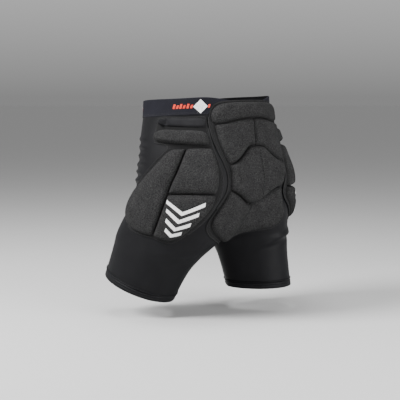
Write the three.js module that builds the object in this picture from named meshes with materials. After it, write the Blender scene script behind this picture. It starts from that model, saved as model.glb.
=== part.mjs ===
// Padded impact shorts with a tailbone panel, shaped as they are worn.
// Millimetres and degrees. +Z is up, the wearer faces -Y and the wearer's left is +X.
// The origin is the centre of the waistband at its mid-height.
import * as THREE from "three";

// Body sizes: half width, front and back depth, and the centre of each side's round at three levels
const waist = { side: 147, lobe: 0, front: 109, back: 110 };
const hip = { side: 171, lobe: 84, front: 90, back: 128 };
const hem = { side: 160, lobe: 94, front: 74, back: 79 };
const hipDrop = 200;
const legDrop = 178;

// Bands and cloth walls
const bandHeight = 34;
const bandWall = 2.2;
const shellWall = 1.5;
const hemHeight = 17;
const hemWall = 2.2;
const panelWall = 1.5;

// Clearances: between two cloth edges, between two layers at the corners of their faces, between pads
const edgeGap = 0.3;
const layerGap = 1.15;
const grooveWidth = 2.4;
const hairline = 0.01;

// How wide the two thighs melt together at the centre, on the shell and under the stiffer rear panel
const seamRound = 24;
const bridgeRound = 42;

// Rear panel: half width of its padded field, height, and how far its top lies below the waistband's top
const backHalfWidth = 100;
const backHeight = 270;
const backTopMargin = 7;

// Side panel: the upright axis that it is wrapped round, the flank of plain shell between the rear panel
// and its rear border, and how far it reaches round
const wrapAxis = 60;
const flank = -2.5;
const sideSpan = 110;
const sideTopMargin = 1;
const sideHeight = 238;

// How far the panels are drawn towards the forward thigh, the rear centre seam more than they, and how
// much the other side's hip panel swells where it is drawn round
const panelDrift = 17;
const seamDrift = 10;
const seamDriftWidth = 41;
const drawnRound = 1.75;
const drawnSwell = 0.55;
const rideFrom = 10;
const rideTo = 80;

// Pads: foam thickness, the height of the upright rim and the width of the rounded shoulder
const thickness = {
  lumbar: 9,
  upper: 10,
  tailbone: 14,
  lower: 11,
  tab: 4.5,
  bar: 10,
  frontThigh: 11,
  rearUpper: 10.5,
  rearLower: 10,
};
const rimShare = 0.3;
const shoulder = 7;
const creaseDepth = 3;
const creaseHalfWidth = 12;
const cornerPasses = 8;

// Stance of each thigh: swing forward, spread outward, how far the rear panel's lower corner rides up,
// how much thinner the thigh is than the full one, and the slope of the hem
const stance = {
  left: { sign: 1, forward: 21, out: 4, ride: 5, slim: 0, trimAcross: 0, trimAlong: 0.02 },
  right: { sign: -1, forward: -9, out: 6.5, ride: -20, slim: 0.1, trimAcross: -0.08, trimAlong: -0.14 },
};
const hipJoint = { across: 92, drop: 130 };
const bendStart = 135;
const bendEnd = 300;
const centreBlend = 45;
const waistSlope = 0.055;

// Facet sizes
const padFacet = { edge: 15, ring: 24, field: 16 };
const backFacet = { edge: 13, field: 14 };
const sideFacet = { edge: 14.5, field: 16 };
const outlineStep = 2;
const outlineTolerance = 0.5;
const ringColumns = 44;
const halfColumns = 22;
const torsoRows = 12;
const legRows = 6;

// Sections above the fullest level of the hip. drop is a share of hipDrop. The next four are how far
// each size has gone from the waist's to the hip's. The cleft columns are how far the two thighs part.
const torsoSections = [
  { drop: -0.1, side: 0, lobe: 0, front: 0, back: 0, cleftFront: 0, cleftBack: 0 },
  { drop: 0.085, side: 0.12, lobe: 0.06, front: 0.05, back: 0, cleftFront: 0, cleftBack: 0 },
  { drop: 0.275, side: 0.44, lobe: 0.33, front: 0.38, back: 0.16, cleftFront: 0, cleftBack: 0 },
  { drop: 0.5, side: 0.74, lobe: 0.66, front: 0.95, back: 0.6, cleftFront: 0, cleftBack: 0 },
  { drop: 0.75, side: 0.95, lobe: 0.9, front: 1, back: 1, cleftFront: 0, cleftBack: 0.1 },
  { drop: 1, side: 1, lobe: 1, front: 1, back: 0.97, cleftFront: 0.2, cleftBack: 0.64 },
];
// Sections below it. drop is a share of legDrop, and the sizes go from the hip's to the hem's.
const legSections = [
  { drop: 0.22, side: 0.25, lobe: 0.5, front: 0.1, back: 0.2, cleftFront: 0.6, cleftBack: 0.8 },
  { drop: 0.405, side: 0.5, lobe: 0.75, front: 0.45, back: 0.48, cleftFront: 1, cleftBack: 1 },
  { drop: 0.65, side: 0.83, lobe: 0.88, front: 0.78, back: 0.78, cleftFront: 1, cleftBack: 1 },
  { drop: 1, side: 1, lobe: 1, front: 1, back: 1, cleftFront: 1, cleftBack: 1 },
];

// Lines of the rear panel on the wearer's left, mirrored on the right.
// Columns: across as a share of backHalfWidth, down as a share of backHeight.
const backLines = {
  edge: [
    [0, 0], [0.5, 0.003], [0.78, 0.01], [0.91, 0.03], [0.97, 0.067], [1, 0.12], [1.02, 0.2], [1.015, 0.26],
    [1, 0.322], [0.965, 0.385], [0.93, 0.43], [0.905, 0.48], [0.88, 0.54], [0.86, 0.59], [0.86, 0.635],
    [0.895, 0.675], [0.95, 0.72], [1.005, 0.763], [1.045, 0.8], [1.05, 0.835], [1.01, 0.866], [0.9, 0.895],
    [0.7, 0.92], [0.5, 0.933], [0.3, 0.944], [0.14, 0.946], [0, 0.945],
  ],
  lumbarTop: [[0, 0.012], [0.47, 0.015], [0.73, 0.022], [0.86, 0.04], [0.94, 0.07], [0.97, 0.11], [0.965, 0.167]],
  lumbarSeam: [[0, 0.135], [0.23, 0.137], [0.44, 0.147], [0.62, 0.16], [0.8, 0.172], [0.965, 0.178]],
  upperSeam: [[0, 0.135], [0.23, 0.137], [0.44, 0.147], [0.62, 0.16], [0.8, 0.172], [0.94, 0.178]],
  upperSide: [[0.94, 0.178], [0.935, 0.24], [0.925, 0.3], [0.905, 0.36], [0.87, 0.415], [0.83, 0.452]],
  shieldTop: [[0, 0.333], [0.2, 0.335], [0.32, 0.36], [0.42, 0.385], [0.54, 0.41], [0.67, 0.433], [0.83, 0.452]],
  shieldSide: [[0.83, 0.452], [0.83, 0.505], [0.82, 0.565], [0.8, 0.617]],
  shieldBottom: [[0, 0.7], [0.14, 0.696], [0.28, 0.68], [0.42, 0.66], [0.56, 0.643], [0.7, 0.627], [0.8, 0.617]],
  lowerSide: [[0.8, 0.617], [0.85, 0.66], [0.895, 0.7], [0.945, 0.74], [0.985, 0.775], [0.995, 0.81], [0.95, 0.84]],
  lowerBottom: [[0, 0.918], [0.14, 0.92], [0.32, 0.917], [0.5, 0.908], [0.7, 0.892], [0.86, 0.868], [0.95, 0.84]],
  centreTop: [[0, 0.135], [0, 0.333]],
  centreBottom: [[0, 0.7], [0, 0.918]],
};

// Lines of the side panel. Columns: around as a share of sideSpan from the rear border forward,
// down as a share of sideHeight.
const sideLines = {
  edgeRear: [
    [0.085, 0.008], [0.07, 0.113], [0.058, 0.185], [0.043, 0.265], [0.02, 0.35], [0, 0.433], [-0.005, 0.508],
    [0, 0.571], [0.018, 0.634], [0.045, 0.685], [0.073, 0.735], [0.1, 0.777], [0.136, 0.824], [0.182, 0.882],
    [0.218, 0.933], [0.264, 0.979],
  ],
  edgeBottom: [
    [0.264, 0.979], [0.364, 0.99], [0.45, 0.985], [0.545, 0.998], [0.645, 1.005], [0.745, 1], [0.855, 0.96],
  ],
  edgeFront: [
    [0.855, 0.96], [0.964, 0.89], [1.018, 0.782], [0.945, 0.634], [0.764, 0.496], [0.6, 0.357], [0.464, 0.256],
  ],
  edgeNeck: [
    [0.464, 0.256], [0.5, 0.227], [0.591, 0.216], [0.655, 0.206], [0.7, 0.176], [0.69, 0.12], [0.67, 0.08],
    [0.665, 0.008],
  ],
  edgeTop: [[0.085, 0.008], [0.25, 0.008], [0.45, 0.008], [0.665, 0.008]],
  tab: [
    [0.59, 0.016], [0.41, 0.016], [0.22, 0.022], [0.105, 0.034], [0.088, 0.067], [0.095, 0.099], [0.164, 0.104],
    [0.336, 0.096], [0.5, 0.084], [0.59, 0.076], [0.615, 0.045],
  ],
  bar: [
    [0.64, 0.172], [0.63, 0.134], [0.59, 0.115], [0.51, 0.105], [0.4, 0.112], [0.255, 0.12], [0.136, 0.132],
    [0.095, 0.15], [0.078, 0.195], [0.082, 0.245], [0.173, 0.246], [0.264, 0.238], [0.364, 0.228],
    [0.445, 0.221], [0.53, 0.21], [0.61, 0.199],
  ],
  rearTop: [[0.055, 0.267], [0.164, 0.26], [0.29, 0.262]],
  slantUpper: [[0.29, 0.262], [0.327, 0.345], [0.373, 0.454], [0.418, 0.542], [0.445, 0.618]],
  slantLower: [[0.445, 0.618], [0.466, 0.727], [0.468, 0.849], [0.455, 0.962]],
  middle: [[0.05, 0.605], [0.164, 0.605], [0.31, 0.608], [0.445, 0.618]],
  rearUpperSide: [[0.055, 0.267], [0.036, 0.345], [0.024, 0.429], [0.03, 0.513], [0.05, 0.605]],
  rearLowerSide: [
    [0.05, 0.605], [0.065, 0.676], [0.095, 0.731], [0.136, 0.786], [0.182, 0.849], [0.227, 0.912],
    [0.282, 0.955],
  ],
  rearBottom: [[0.282, 0.955], [0.364, 0.97], [0.455, 0.962]],
  frontBottom: [[0.455, 0.962], [0.545, 0.977], [0.645, 0.984], [0.736, 0.979], [0.84, 0.94]],
  frontSide: [
    [0.84, 0.94], [0.936, 0.875], [0.984, 0.777], [0.915, 0.643], [0.736, 0.509], [0.573, 0.371],
    [0.436, 0.268], [0.29, 0.262],
  ],
};

const radians = THREE.MathUtils.degToRad;
const mix = THREE.MathUtils.lerp;
const bandTop = bandHeight / 2;
const bandBottom = -bandHeight / 2;
const shellTop = bandBottom - edgeGap;
const hemBottom = -hipDrop - legDrop;
const hemTop = hemBottom + hemHeight;
const shellBottom = hemTop + edgeGap;
const panelSeat = shellWall + layerGap;
const padSeat = panelSeat + panelWall + layerGap;

// Smooth step from 0 at a to 1 at b
function smooth(a, b, x) {
  const t = THREE.MathUtils.clamp((x - a) / (b - a), 0, 1);
  return t * t * (3 - 2 * t);
}

// The section tables as rows of lengths, lowest first
function sectionRows() {
  const rows = [];
  for (const [table, from, to, top, height] of [
    [torsoSections, waist, hip, 0, hipDrop],
    [legSections, hip, hem, hipDrop, legDrop],
  ]) {
    for (const row of table) {
      const sizes = { z: -(top + row.drop * height), cleftFront: row.cleftFront, cleftBack: row.cleftBack };
      for (const key of ["side", "lobe", "front", "back"]) sizes[key] = mix(from[key], to[key], row[key]);
      rows.unshift(sizes);
    }
  }
  return rows;
}

// Slopes of a monotone cubic through the rows, for one column
function columnSlopes(rows, key) {
  const step = rows.slice(1).map((row, i) => row.z - rows[i].z);
  const rise = rows.slice(1).map((row, i) => (row[key] - rows[i][key]) / step[i]);
  return rows.map((row, i) => {
    if (i === 0) return rise[0];
    if (i === rows.length - 1) return rise[i - 1];
    if (rise[i - 1] * rise[i] <= 0) return 0;
    const below = 2 * step[i] + step[i - 1];
    const above = step[i] + 2 * step[i - 1];
    return (below + above) / (below / rise[i - 1] + above / rise[i]);
  });
}

const rows = sectionRows();
const sectionKeys = ["side", "lobe", "front", "back", "cleftFront", "cleftBack"];
const slopes = Object.fromEntries(sectionKeys.map((key) => [key, columnSlopes(rows, key)]));

// Sizes of the level section at height z
function sectionAt(z) {
  let i = 0;
  while (i < rows.length - 2 && z > rows[i + 1].z) i += 1;
  const height = rows[i + 1].z - rows[i].z;
  const t = (z - rows[i].z) / height;
  const section = {};
  for (const key of sectionKeys) {
    const slope = slopes[key];
    section[key] =
      (1 + 2 * t) * (1 - t) ** 2 * rows[i][key] +
      t * (1 - t) ** 2 * height * slope[i] +
      t * t * (3 - 2 * t) * rows[i + 1][key] +
      t * t * (t - 1) * height * slope[i + 1];
  }
  return section;
}

// Below 0 inside the body. Each side is a half ellipse round its lobe, and between the lobes the
// section runs straight across or parts into two thighs.
function bodyField(x, y, z, round, section = sectionAt(z)) {
  const { side, lobe, front, back, cleftFront, cleftBack } = section;
  const far = Math.abs(x);
  const softened = far < round ? (far * far / round + round) / 2 : far;
  const past = softened - lobe;
  const cleft = mix(cleftFront, cleftBack, smooth(-0.3 * front, 0.3 * front, y));
  const across = (past < 0 ? past * cleft : past) / (side - lobe);
  const along = y / (y > 0 ? back : front);
  return Math.hypot(across, along) - 1;
}

// Distance along a level ray to the body's surface
function reach(x, z, dx, dy, round) {
  const section = sectionAt(z);
  let near = 0;
  let far = 2 * hip.side;
  if (x * dx < 0) far = Math.min(far, -x / dx);
  for (let i = 0; i < 40; i += 1) {
    const middle = (near + far) / 2;
    if (bodyField(x + dx * middle, dy * middle, z, round, section) < 0) near = middle;
    else far = middle;
  }
  return near;
}

// Point of the straight-standing surface on a ray from (x, 0, z), turned by angle from +Y towards +X
function onRay(x, angle, z, round = seamRound) {
  const dx = Math.sin(angle);
  const dy = Math.cos(angle);
  const length = reach(x, z, dx, dy, round);
  return new THREE.Vector3(x + dx * length, dy * length, z);
}

// Turn a point about a thigh's hip joint, after the slope of the hem
function swing(p, leg) {
  const centre = leg.sign * hipJoint.across;
  const low = smooth(-hemTop * 0.79, -hemBottom, -p.z);
  const trim = low * (leg.trimAlong * p.y + leg.sign * leg.trimAcross * (p.x - centre));
  const full = 1 - leg.slim;
  const moved = new THREE.Vector3((p.x - centre) * full, p.y * full, p.z + trim + hipJoint.drop);
  moved.applyAxisAngle(new THREE.Vector3(1, 0, 0), -radians(leg.forward));
  moved.applyAxisAngle(new THREE.Vector3(0, 1, 0), -leg.sign * radians(leg.out));
  return moved.add(new THREE.Vector3(centre, 0, -hipJoint.drop));
}

// Take a point of the straight-standing garment to the stance that it is worn in
function pose(p) {
  const bend = smooth(bendStart, bendEnd, -p.z);
  const leftShare = smooth(-centreBlend, centreBlend, p.x);
  const posed = p.clone();
  posed.addScaledVector(swing(p, stance.left).sub(p), bend * leftShare);
  posed.addScaledVector(swing(p, stance.right).sub(p), bend * (1 - leftShare));
  posed.z += waistSlope * p.y * smooth(-0.7 * hipDrop, -0.15 * hipDrop, p.z);
  return posed;
}

// Outward direction of the posed surface at a straight-standing point
function outward(p, round) {
  const d = 0.05;
  const slope = (dx, dy, dz) =>
    bodyField(p.x + dx, p.y + dy, p.z + dz, round) - bodyField(p.x - dx, p.y - dy, p.z - dz, round);
  const change = (dx, dy, dz) => {
    const step = new THREE.Vector3(dx, dy, dz);
    return pose(p.clone().add(step)).sub(pose(p.clone().sub(step)));
  };
  const a = change(d, 0, 0);
  const b = change(0, d, 0);
  const c = change(0, 0, d);
  return new THREE.Vector3()
    .addScaledVector(b.clone().cross(c), slope(d, 0, 0))
    .addScaledVector(c.clone().cross(a), slope(0, d, 0))
    .addScaledVector(a.clone().cross(b), slope(0, 0, d))
    .normalize();
}

// Posed point that stands proud of the body by height
function proud(p, height, round = seamRound) {
  return pose(p).addScaledVector(outward(p, round), height);
}

// Mesh from points and triangles, with its faces turned outward
function solid(name, points, triangles, material) {
  let volume = 0;
  for (const [a, b, c] of triangles) {
    volume += points[a].dot(points[b].clone().cross(points[c]));
  }
  const faces = volume > 0 ? triangles : triangles.map(([a, b, c]) => [a, c, b]);
  const geometry = new THREE.BufferGeometry();
  const coordinates = points.flatMap((p) => [p.x, p.y, p.z]);
  geometry.setAttribute("position", new THREE.Float32BufferAttribute(coordinates, 3));
  geometry.setIndex(faces.flat());
  geometry.computeVertexNormals();
  const mesh = new THREE.Mesh(geometry, material);
  mesh.name = name;
  return mesh;
}

// Closed band round a hollow. rings holds rings of surface points from the top down.
function band(name, rings, wall, material) {
  const count = rings[0].length;
  const points = [];
  for (const height of [wall, 0]) {
    for (const ring of rings) points.push(...ring.map((p) => proud(p, height)));
  }
  const at = (inner, row, column) => (inner * rings.length + row) * count + (column % count);
  const triangles = [];
  const quad = (a, b, c, d) => triangles.push([a, b, c], [a, c, d]);
  for (let column = 0; column < count; column += 1) {
    for (let row = 0; row < rings.length - 1; row += 1) {
      quad(at(0, row, column), at(0, row, column + 1), at(0, row + 1, column + 1), at(0, row + 1, column));
      quad(at(1, row, column + 1), at(1, row, column), at(1, row + 1, column), at(1, row + 1, column + 1));
    }
    const last = rings.length - 1;
    quad(at(1, 0, column), at(1, 0, column + 1), at(0, 0, column + 1), at(0, 0, column));
    quad(at(0, last, column), at(0, last, column + 1), at(1, last, column + 1), at(1, last, column));
  }
  return solid(name, points, triangles, material);
}

// Ring of surface points round the waist at height z
function waistRing(z) {
  return Array.from({ length: ringColumns }, (unused, i) => onRay(0, (2 * Math.PI * i) / ringColumns, z));
}

// Ring of surface points round one thigh at height z, starting at its inner side
function thighRing(sign, z) {
  const lobe = sectionAt(z).lobe;
  const angle = (i) => -Math.PI / 2 + (2 * Math.PI * i) / halfColumns;
  return Array.from({ length: halfColumns }, (unused, i) => {
    const p = onRay(lobe, angle(i), z);
    return new THREE.Vector3(sign * p.x, p.y, z);
  });
}

// Height at which the two thighs part on the plane at x
function crotchHeight(x) {
  let high = -hipDrop;
  let low = shellBottom;
  for (let i = 0; i < 40; i += 1) {
    const middle = (high + low) / 2;
    if (bodyField(x, 0, middle, seamRound) < 0) high = middle;
    else low = middle;
  }
  return (high + low) / 2;
}

// Half of the shell: a sheet from the rear seam round the side to the front seam, closed round the
// thigh below the crotch
function shellHalf(name, sign, material) {
  const seam = edgeGap / 2;
  const crotch = crotchHeight(seam);
  const levels = [];
  for (let i = 0; i < torsoRows; i += 1) {
    levels.push({ z: crotch + (shellTop - crotch) * (1 - i / torsoRows) ** 1.3, thigh: false });
  }
  for (let i = 0; i <= legRows; i += 1) {
    levels.push({ z: crotch + (shellBottom - crotch) * (i / legRows) ** 1.4, thigh: true });
  }
  const rings = levels.map(({ z, thigh }) => {
    const lobe = Math.max(sectionAt(z).lobe, 2 * seam);
    const rear = thigh ? null : onRay(seam, 0, z);
    const front = thigh ? null : onRay(seam, Math.PI, z);
    const from = thigh ? -Math.PI / 2 : Math.atan2(seam - lobe, rear.y);
    const to = thigh ? 1.5 * Math.PI : Math.PI + Math.atan2(lobe - seam, -front.y);
    const count = thigh ? halfColumns : halfColumns + 1;
    return Array.from({ length: count }, (unused, i) => {
      let p = onRay(lobe, mix(from, to, i / halfColumns), z);
      if (!thigh && i === 0) p = rear;
      if (!thigh && i === halfColumns) p = front;
      if (thigh && i === 0) p.x = Math.max(p.x, seam);
      return new THREE.Vector3(sign * p.x, p.y, z);
    });
  });
  const points = [];
  const starts = [];
  for (const height of [shellWall, 0]) {
    for (const ring of rings) {
      starts.push(points.length);
      points.push(...ring.map((p) => proud(p, height)));
    }
  }
  const at = (inner, row, column) => starts[inner * rings.length + row] + (column % rings[row].length);
  const triangles = [];
  const quad = (a, b, c, d) => triangles.push([a, b, c], [a, c, d]);
  const last = rings.length - 1;
  for (let row = 0; row < last; row += 1) {
    for (let i = 0; i < halfColumns; i += 1) {
      quad(at(0, row, i), at(0, row, i + 1), at(0, row + 1, i + 1), at(0, row + 1, i));
      quad(at(1, row, i + 1), at(1, row, i), at(1, row + 1, i), at(1, row + 1, i + 1));
    }
    if (!levels[row].thigh) {
      quad(at(1, row, 0), at(0, row, 0), at(0, row + 1, 0), at(1, row + 1, 0));
      quad(at(0, row, halfColumns), at(1, row, halfColumns), at(1, row + 1, halfColumns), at(0, row + 1, halfColumns));
    }
  }
  for (let i = 0; i < halfColumns; i += 1) {
    quad(at(1, 0, i), at(1, 0, i + 1), at(0, 0, i + 1), at(0, 0, i));
    quad(at(0, last, i), at(0, last, i + 1), at(1, last, i + 1), at(1, last, i));
  }
  return solid(name, points, triangles, material);
}

// Smooth curve through the points of one line, with free ends
function curve(points) {
  const flat = points.map((p) => new THREE.Vector3(p.x, p.y, 0));
  const spline = new THREE.CatmullRomCurve3(flat, false, "centripetal");
  const steps = Math.max(1, Math.round(spline.getLength() / outlineStep));
  return spline.getSpacedPoints(steps).map((p) => new THREE.Vector2(p.x, p.y));
}

// Closed outline from lines laid end to end, each turned round where that joins it to the last
function closedOutline(lines, passes = cornerPasses) {
  let outline = [];
  for (const line of lines) {
    const points = curve(line);
    const end = outline.at(-1);
    if (end && end.distanceTo(points[0]) > end.distanceTo(points.at(-1))) points.reverse();
    outline.push(...(end ? points.slice(1) : points));
  }
  if (outline[0].distanceTo(outline.at(-1)) < outlineStep / 4) outline.pop();
  for (let pass = 0; pass < passes; pass += 1) {
    outline = outline.map((p, i) => {
      const before = outline.at(i - 1);
      const after = outline[(i + 1) % outline.length];
      return new THREE.Vector2((before.x + 2 * p.x + after.x) / 4, (before.y + 2 * p.y + after.y) / 4);
    });
  }
  if (THREE.ShapeUtils.area(outline) < 0) outline.reverse();
  return outline;
}

// Distance from a point to a closed outline, above 0 inside it
function depthInside(p, outline) {
  let nearest = Infinity;
  let inside = false;
  for (let i = 0, j = outline.length - 1; i < outline.length; j = i, i += 1) {
    const a = outline[j];
    const b = outline[i];
    const side = b.clone().sub(a);
    const t = THREE.MathUtils.clamp(p.clone().sub(a).dot(side) / side.lengthSq(), 0, 1);
    nearest = Math.min(nearest, a.clone().addScaledVector(side, t).distanceTo(p));
    if (a.y > p.y !== b.y > p.y && p.x < ((b.x - a.x) * (p.y - a.y)) / (b.y - a.y) + a.x) inside = !inside;
  }
  return inside ? nearest : -nearest;
}

// Outline moved inward by a distance
function insetOutline(outline, distance) {
  const moved = outline.map((p, i) => {
    const along = outline[(i + 1) % outline.length].clone().sub(outline.at(i - 1)).normalize();
    return new THREE.Vector2(p.x - along.y * distance, p.y + along.x * distance);
  });
  return moved.filter((p) => depthInside(p, outline) > distance * 0.985);
}

// The few points of a fine outline that its shape needs, none further apart than longest
function fewPoints(outline, longest) {
  const keep = new Set();
  const split = (from, to) => {
    const a = outline[from % outline.length];
    const b = outline[to % outline.length];
    let worst = 0;
    let index = Math.round((from + to) / 2);
    const line = b.clone().sub(a);
    const length = line.length() || hairline;
    for (let i = from + 1; i < to; i += 1) {
      const off = Math.abs(line.cross(outline[i % outline.length].clone().sub(a))) / length;
      if (off > worst) {
        worst = off;
        index = i;
      }
    }
    keep.add(from % outline.length);
    if (to === from + 1) return;
    if (worst < outlineTolerance) {
      if (length <= longest) return;
      index = Math.round((from + to) / 2);
    }
    split(from, index);
    split(index, to);
  };
  const third = Math.floor(outline.length / 3);
  split(0, third);
  split(third, 2 * third);
  split(2 * third, outline.length);
  return [...keep].sort((a, b) => a - b).map((i) => outline[i]);
}

// Staggered points inside an outline, at least margin from its edge
function fieldPoints(outline, spacing, margin) {
  const box = new THREE.Box2().setFromPoints(outline);
  const middle = box.getCenter(new THREE.Vector2());
  const reachX = Math.ceil((box.max.x - box.min.x) / spacing / 2) + 1;
  const reachY = Math.ceil((box.max.y - box.min.y) / spacing / 1.7) + 1;
  const points = [];
  for (let j = -reachY; j <= reachY; j += 1) {
    for (let i = -reachX; i <= reachX; i += 1) {
      const shift = j % 2 === 0 ? 0 : 0.5;
      const p = new THREE.Vector2(middle.x + (i + shift) * spacing, middle.y + j * spacing * 0.866);
      if (depthInside(p, outline) > margin) points.push(p);
    }
  }
  return points;
}

// Delaunay triangles of flat points, kept where they lie inside the outline of the first points
function triangulate(points, edgeCount) {
  const all = points.map((p, i) => new THREE.Vector2(p.x + 1e-4 * Math.sin(7 * i), p.y + 1e-4 * Math.cos(11 * i)));
  const big = 1e5;
  all.push(new THREE.Vector2(-big, -big), new THREE.Vector2(big, -big), new THREE.Vector2(0, big));
  const circle = (a, b, c) => {
    const p = all[a];
    const q = all[b].clone().sub(p);
    const r = all[c].clone().sub(p);
    const d = 2 * q.cross(r);
    const x = (r.y * q.lengthSq() - q.y * r.lengthSq()) / d;
    const y = (q.x * r.lengthSq() - r.x * q.lengthSq()) / d;
    return { corners: [a, b, c], x: p.x + x, y: p.y + y, size: x * x + y * y };
  };
  let triangles = [circle(points.length, points.length + 1, points.length + 2)];
  for (let i = 0; i < points.length; i += 1) {
    const p = all[i];
    const rim = new Map();
    const rest = [];
    for (const triangle of triangles) {
      if ((p.x - triangle.x) ** 2 + (p.y - triangle.y) ** 2 >= triangle.size) {
        rest.push(triangle);
        continue;
      }
      const [a, b, c] = triangle.corners;
      for (const [from, to] of [[a, b], [b, c], [c, a]]) {
        const key = Math.min(from, to) + "-" + Math.max(from, to);
        if (rim.has(key)) rim.delete(key);
        else rim.set(key, [from, to]);
      }
    }
    for (const [from, to] of rim.values()) rest.push(circle(from, to, i));
    triangles = rest;
  }
  const outline = points.slice(0, edgeCount);
  return triangles
    .map((triangle) => triangle.corners)
    .filter((corners) => corners.every((corner) => corner < points.length))
    .filter((corners) => {
      const centre = new THREE.Vector2();
      for (const corner of corners) centre.addScaledVector(points[corner], 1 / 3);
      return depthInside(centre, outline) > hairline;
    });
}

// Closed piece of an even or crowned thickness over an outline on a curved surface.
// lay takes a flat point and a height to the posed place, height gives the top's height.
function layer(name, outline, rings, facet, lay, seat, height, material) {
  const edge = fewPoints(outline, facet.edge);
  const top = [...edge];
  let margin = facet.field * 0.55;
  for (const inset of rings) {
    const ring = insetOutline(outline, inset);
    if (ring.length < outline.length / 3) continue;
    top.push(...fewPoints(ring, facet.ring));
    margin = inset + facet.field * 0.55;
  }
  top.push(...fieldPoints(outline, facet.field, margin));
  const bottom = [...edge, ...fieldPoints(outline, facet.field, facet.field * 0.55)];
  const points = [
    ...top.map((p) => lay(p, seat + height(p, Math.max(0, depthInside(p, outline))))),
    ...bottom.map((p) => lay(p, seat)),
  ];
  const topFaces = triangulate(top, edge.length).map(([a, b, c]) => [a, b, c]);
  const turn = ([a, b, c], list) => {
    const flat = list[b].clone().sub(list[a]).cross(list[c].clone().sub(list[a]));
    return flat > 0 ? [a, b, c] : [a, c, b];
  };
  const triangles = topFaces.map((face) => turn(face, top));
  for (const face of triangulate(bottom, edge.length)) {
    const [a, b, c] = turn(face, bottom);
    triangles.push([a + top.length, c + top.length, b + top.length]);
  }
  for (let i = 0; i < edge.length; i += 1) {
    const next = (i + 1) % edge.length;
    triangles.push([next, i, i + top.length], [next, i + top.length, next + top.length]);
  }
  return solid(name, points, triangles, material);
}

// Flat place of a row of the rear panel's table, on the wearer's left or right
function backPoint([across, down], sign = 1) {
  return new THREE.Vector2(sign * across * backHalfWidth, bandTop - backTopMargin - down * backHeight);
}

function backLine(name, sign = 1) {
  return backLines[name].map((row) => backPoint(row, sign));
}

// Line of the rear panel from its left end across the centre to its right end
function backSpan(name) {
  const left = backLine(name).reverse();
  return [...left, ...backLine(name, -1).slice(1)];
}

// How much further out the panels lie towards the thicker waistband
function bandLift(z) {
  return (bandWall - shellWall) * smooth(bandBottom - 1.4 * bandHeight, bandBottom - 0.06 * bandHeight, z);
}

// How far the panels are drawn towards the forward thigh at a height
function sideways(z) {
  return panelDrift * smooth(0.6 * hipDrop, 0.97 * hipDrop, -z);
}

// The further draw of the rear centre seam
function seamSideways(x, z) {
  return seamDrift * Math.exp(-((x / seamDriftWidth) ** 2)) * smooth(0.88 * hipDrop, hipDrop, -z);
}

// How far the rear panel's lower corners lie higher or lower in each thigh's stance
function rideAt(x, z) {
  const corner = smooth(0.88 * hipDrop, 1.12 * hipDrop, -z);
  const outer = (leg) => leg.ride * smooth(rideFrom, rideTo, leg.sign * x);
  return corner * (outer(stance.left) + outer(stance.right));
}

function layBack(flat, height) {
  const x = flat.x + sideways(flat.y) + seamSideways(flat.x, flat.y);
  const z = flat.y + rideAt(flat.x, flat.y);
  const round = mix(seamRound, bridgeRound, smooth(0.6 * hipDrop, hipDrop, -z));
  return proud(onRay(x, 0, z, round), height + bandLift(z), round);
}

// Millimetres on the hip for one degree round the side panel's axis
const perDegree = radians(hip.side - wrapAxis);

// Angle of the rear border, which keeps clear of the rear panel on the fullest level
const sideRear = THREE.MathUtils.radToDeg(Math.asin((backHalfWidth + flank - wrapAxis) / (hip.side - wrapAxis)));

// Flat place of a row of the side panel's table
function sidePoint([around, down]) {
  const angle = sideRear + around * sideSpan;
  return new THREE.Vector2(angle * perDegree, bandBottom - sideTopMargin - down * sideHeight);
}

function sideLine(name) {
  return sideLines[name].map(sidePoint);
}

function laySide(sign) {
  return (flat, height) => {
    const border = THREE.MathUtils.clamp(1 - (flat.x / perDegree - sideRear) / sideSpan, 0, 1);
    const share = sign < 0 ? border ** 2 : 0;
    const drawn = drawnRound * sideways(flat.y) * share;
    const swell = 1 + drawnSwell * share * smooth(0.25 * hipDrop, 0.7 * hipDrop, -flat.y);
    const p = onRay(wrapAxis, radians((flat.x - drawn) / perDegree), flat.y);
    return proud(new THREE.Vector3(sign * p.x, p.y, p.z), height * swell + bandLift(flat.y));
  };
}

// Height of a pad's top: an upright rim, a rounded shoulder, then the full foam
function padHeight(full, extra = () => 0) {
  return (flat, depth) => {
    const t = Math.min(1, depth / shoulder);
    const rise = mix(rimShare, 1, Math.sqrt(1 - (1 - t) ** 2));
    return full * rise + extra(flat, depth);
  };
}

const even = (wall) => () => wall;
const padRings = [0.35 * shoulder, shoulder];

function pad(name, lines, lay, full, material, extra) {
  const outline = insetOutline(closedOutline(lines), grooveWidth / 2);
  return layer(name, outline, padRings, padFacet, lay, padSeat, padHeight(full, extra), material);
}

function panelSheet(name, lines, facet, lay, material) {
  return layer(name, closedOutline(lines, 2), [], facet, lay, panelSeat, even(panelWall), material);
}

// Shallow crease down the middle of the tailbone pad
function centreCrease(flat, depth) {
  const near = 1 - Math.min(1, Math.abs(flat.x) / creaseHalfWidth);
  return -creaseDepth * near * near * Math.min(1, depth / shoulder);
}

function cloth(colour, roughness) {
  return new THREE.MeshStandardMaterial({ color: colour, roughness, metalness: 0 });
}

function buildBands(shorts) {
  shorts.add(band("waistband", [waistRing(bandTop), waistRing(bandBottom)], bandWall, cloth("#26262b", 0.75)));
  for (const [side, leg] of Object.entries(stance)) {
    shorts.add(shellHalf("shell_" + side, leg.sign, cloth("#2a2a2f", 0.7)));
    const rings = [thighRing(leg.sign, hemTop), thighRing(leg.sign, hemBottom)];
    shorts.add(band("hem_" + side, rings, hemWall, cloth("#242428", 0.72)));
  }
}

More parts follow.
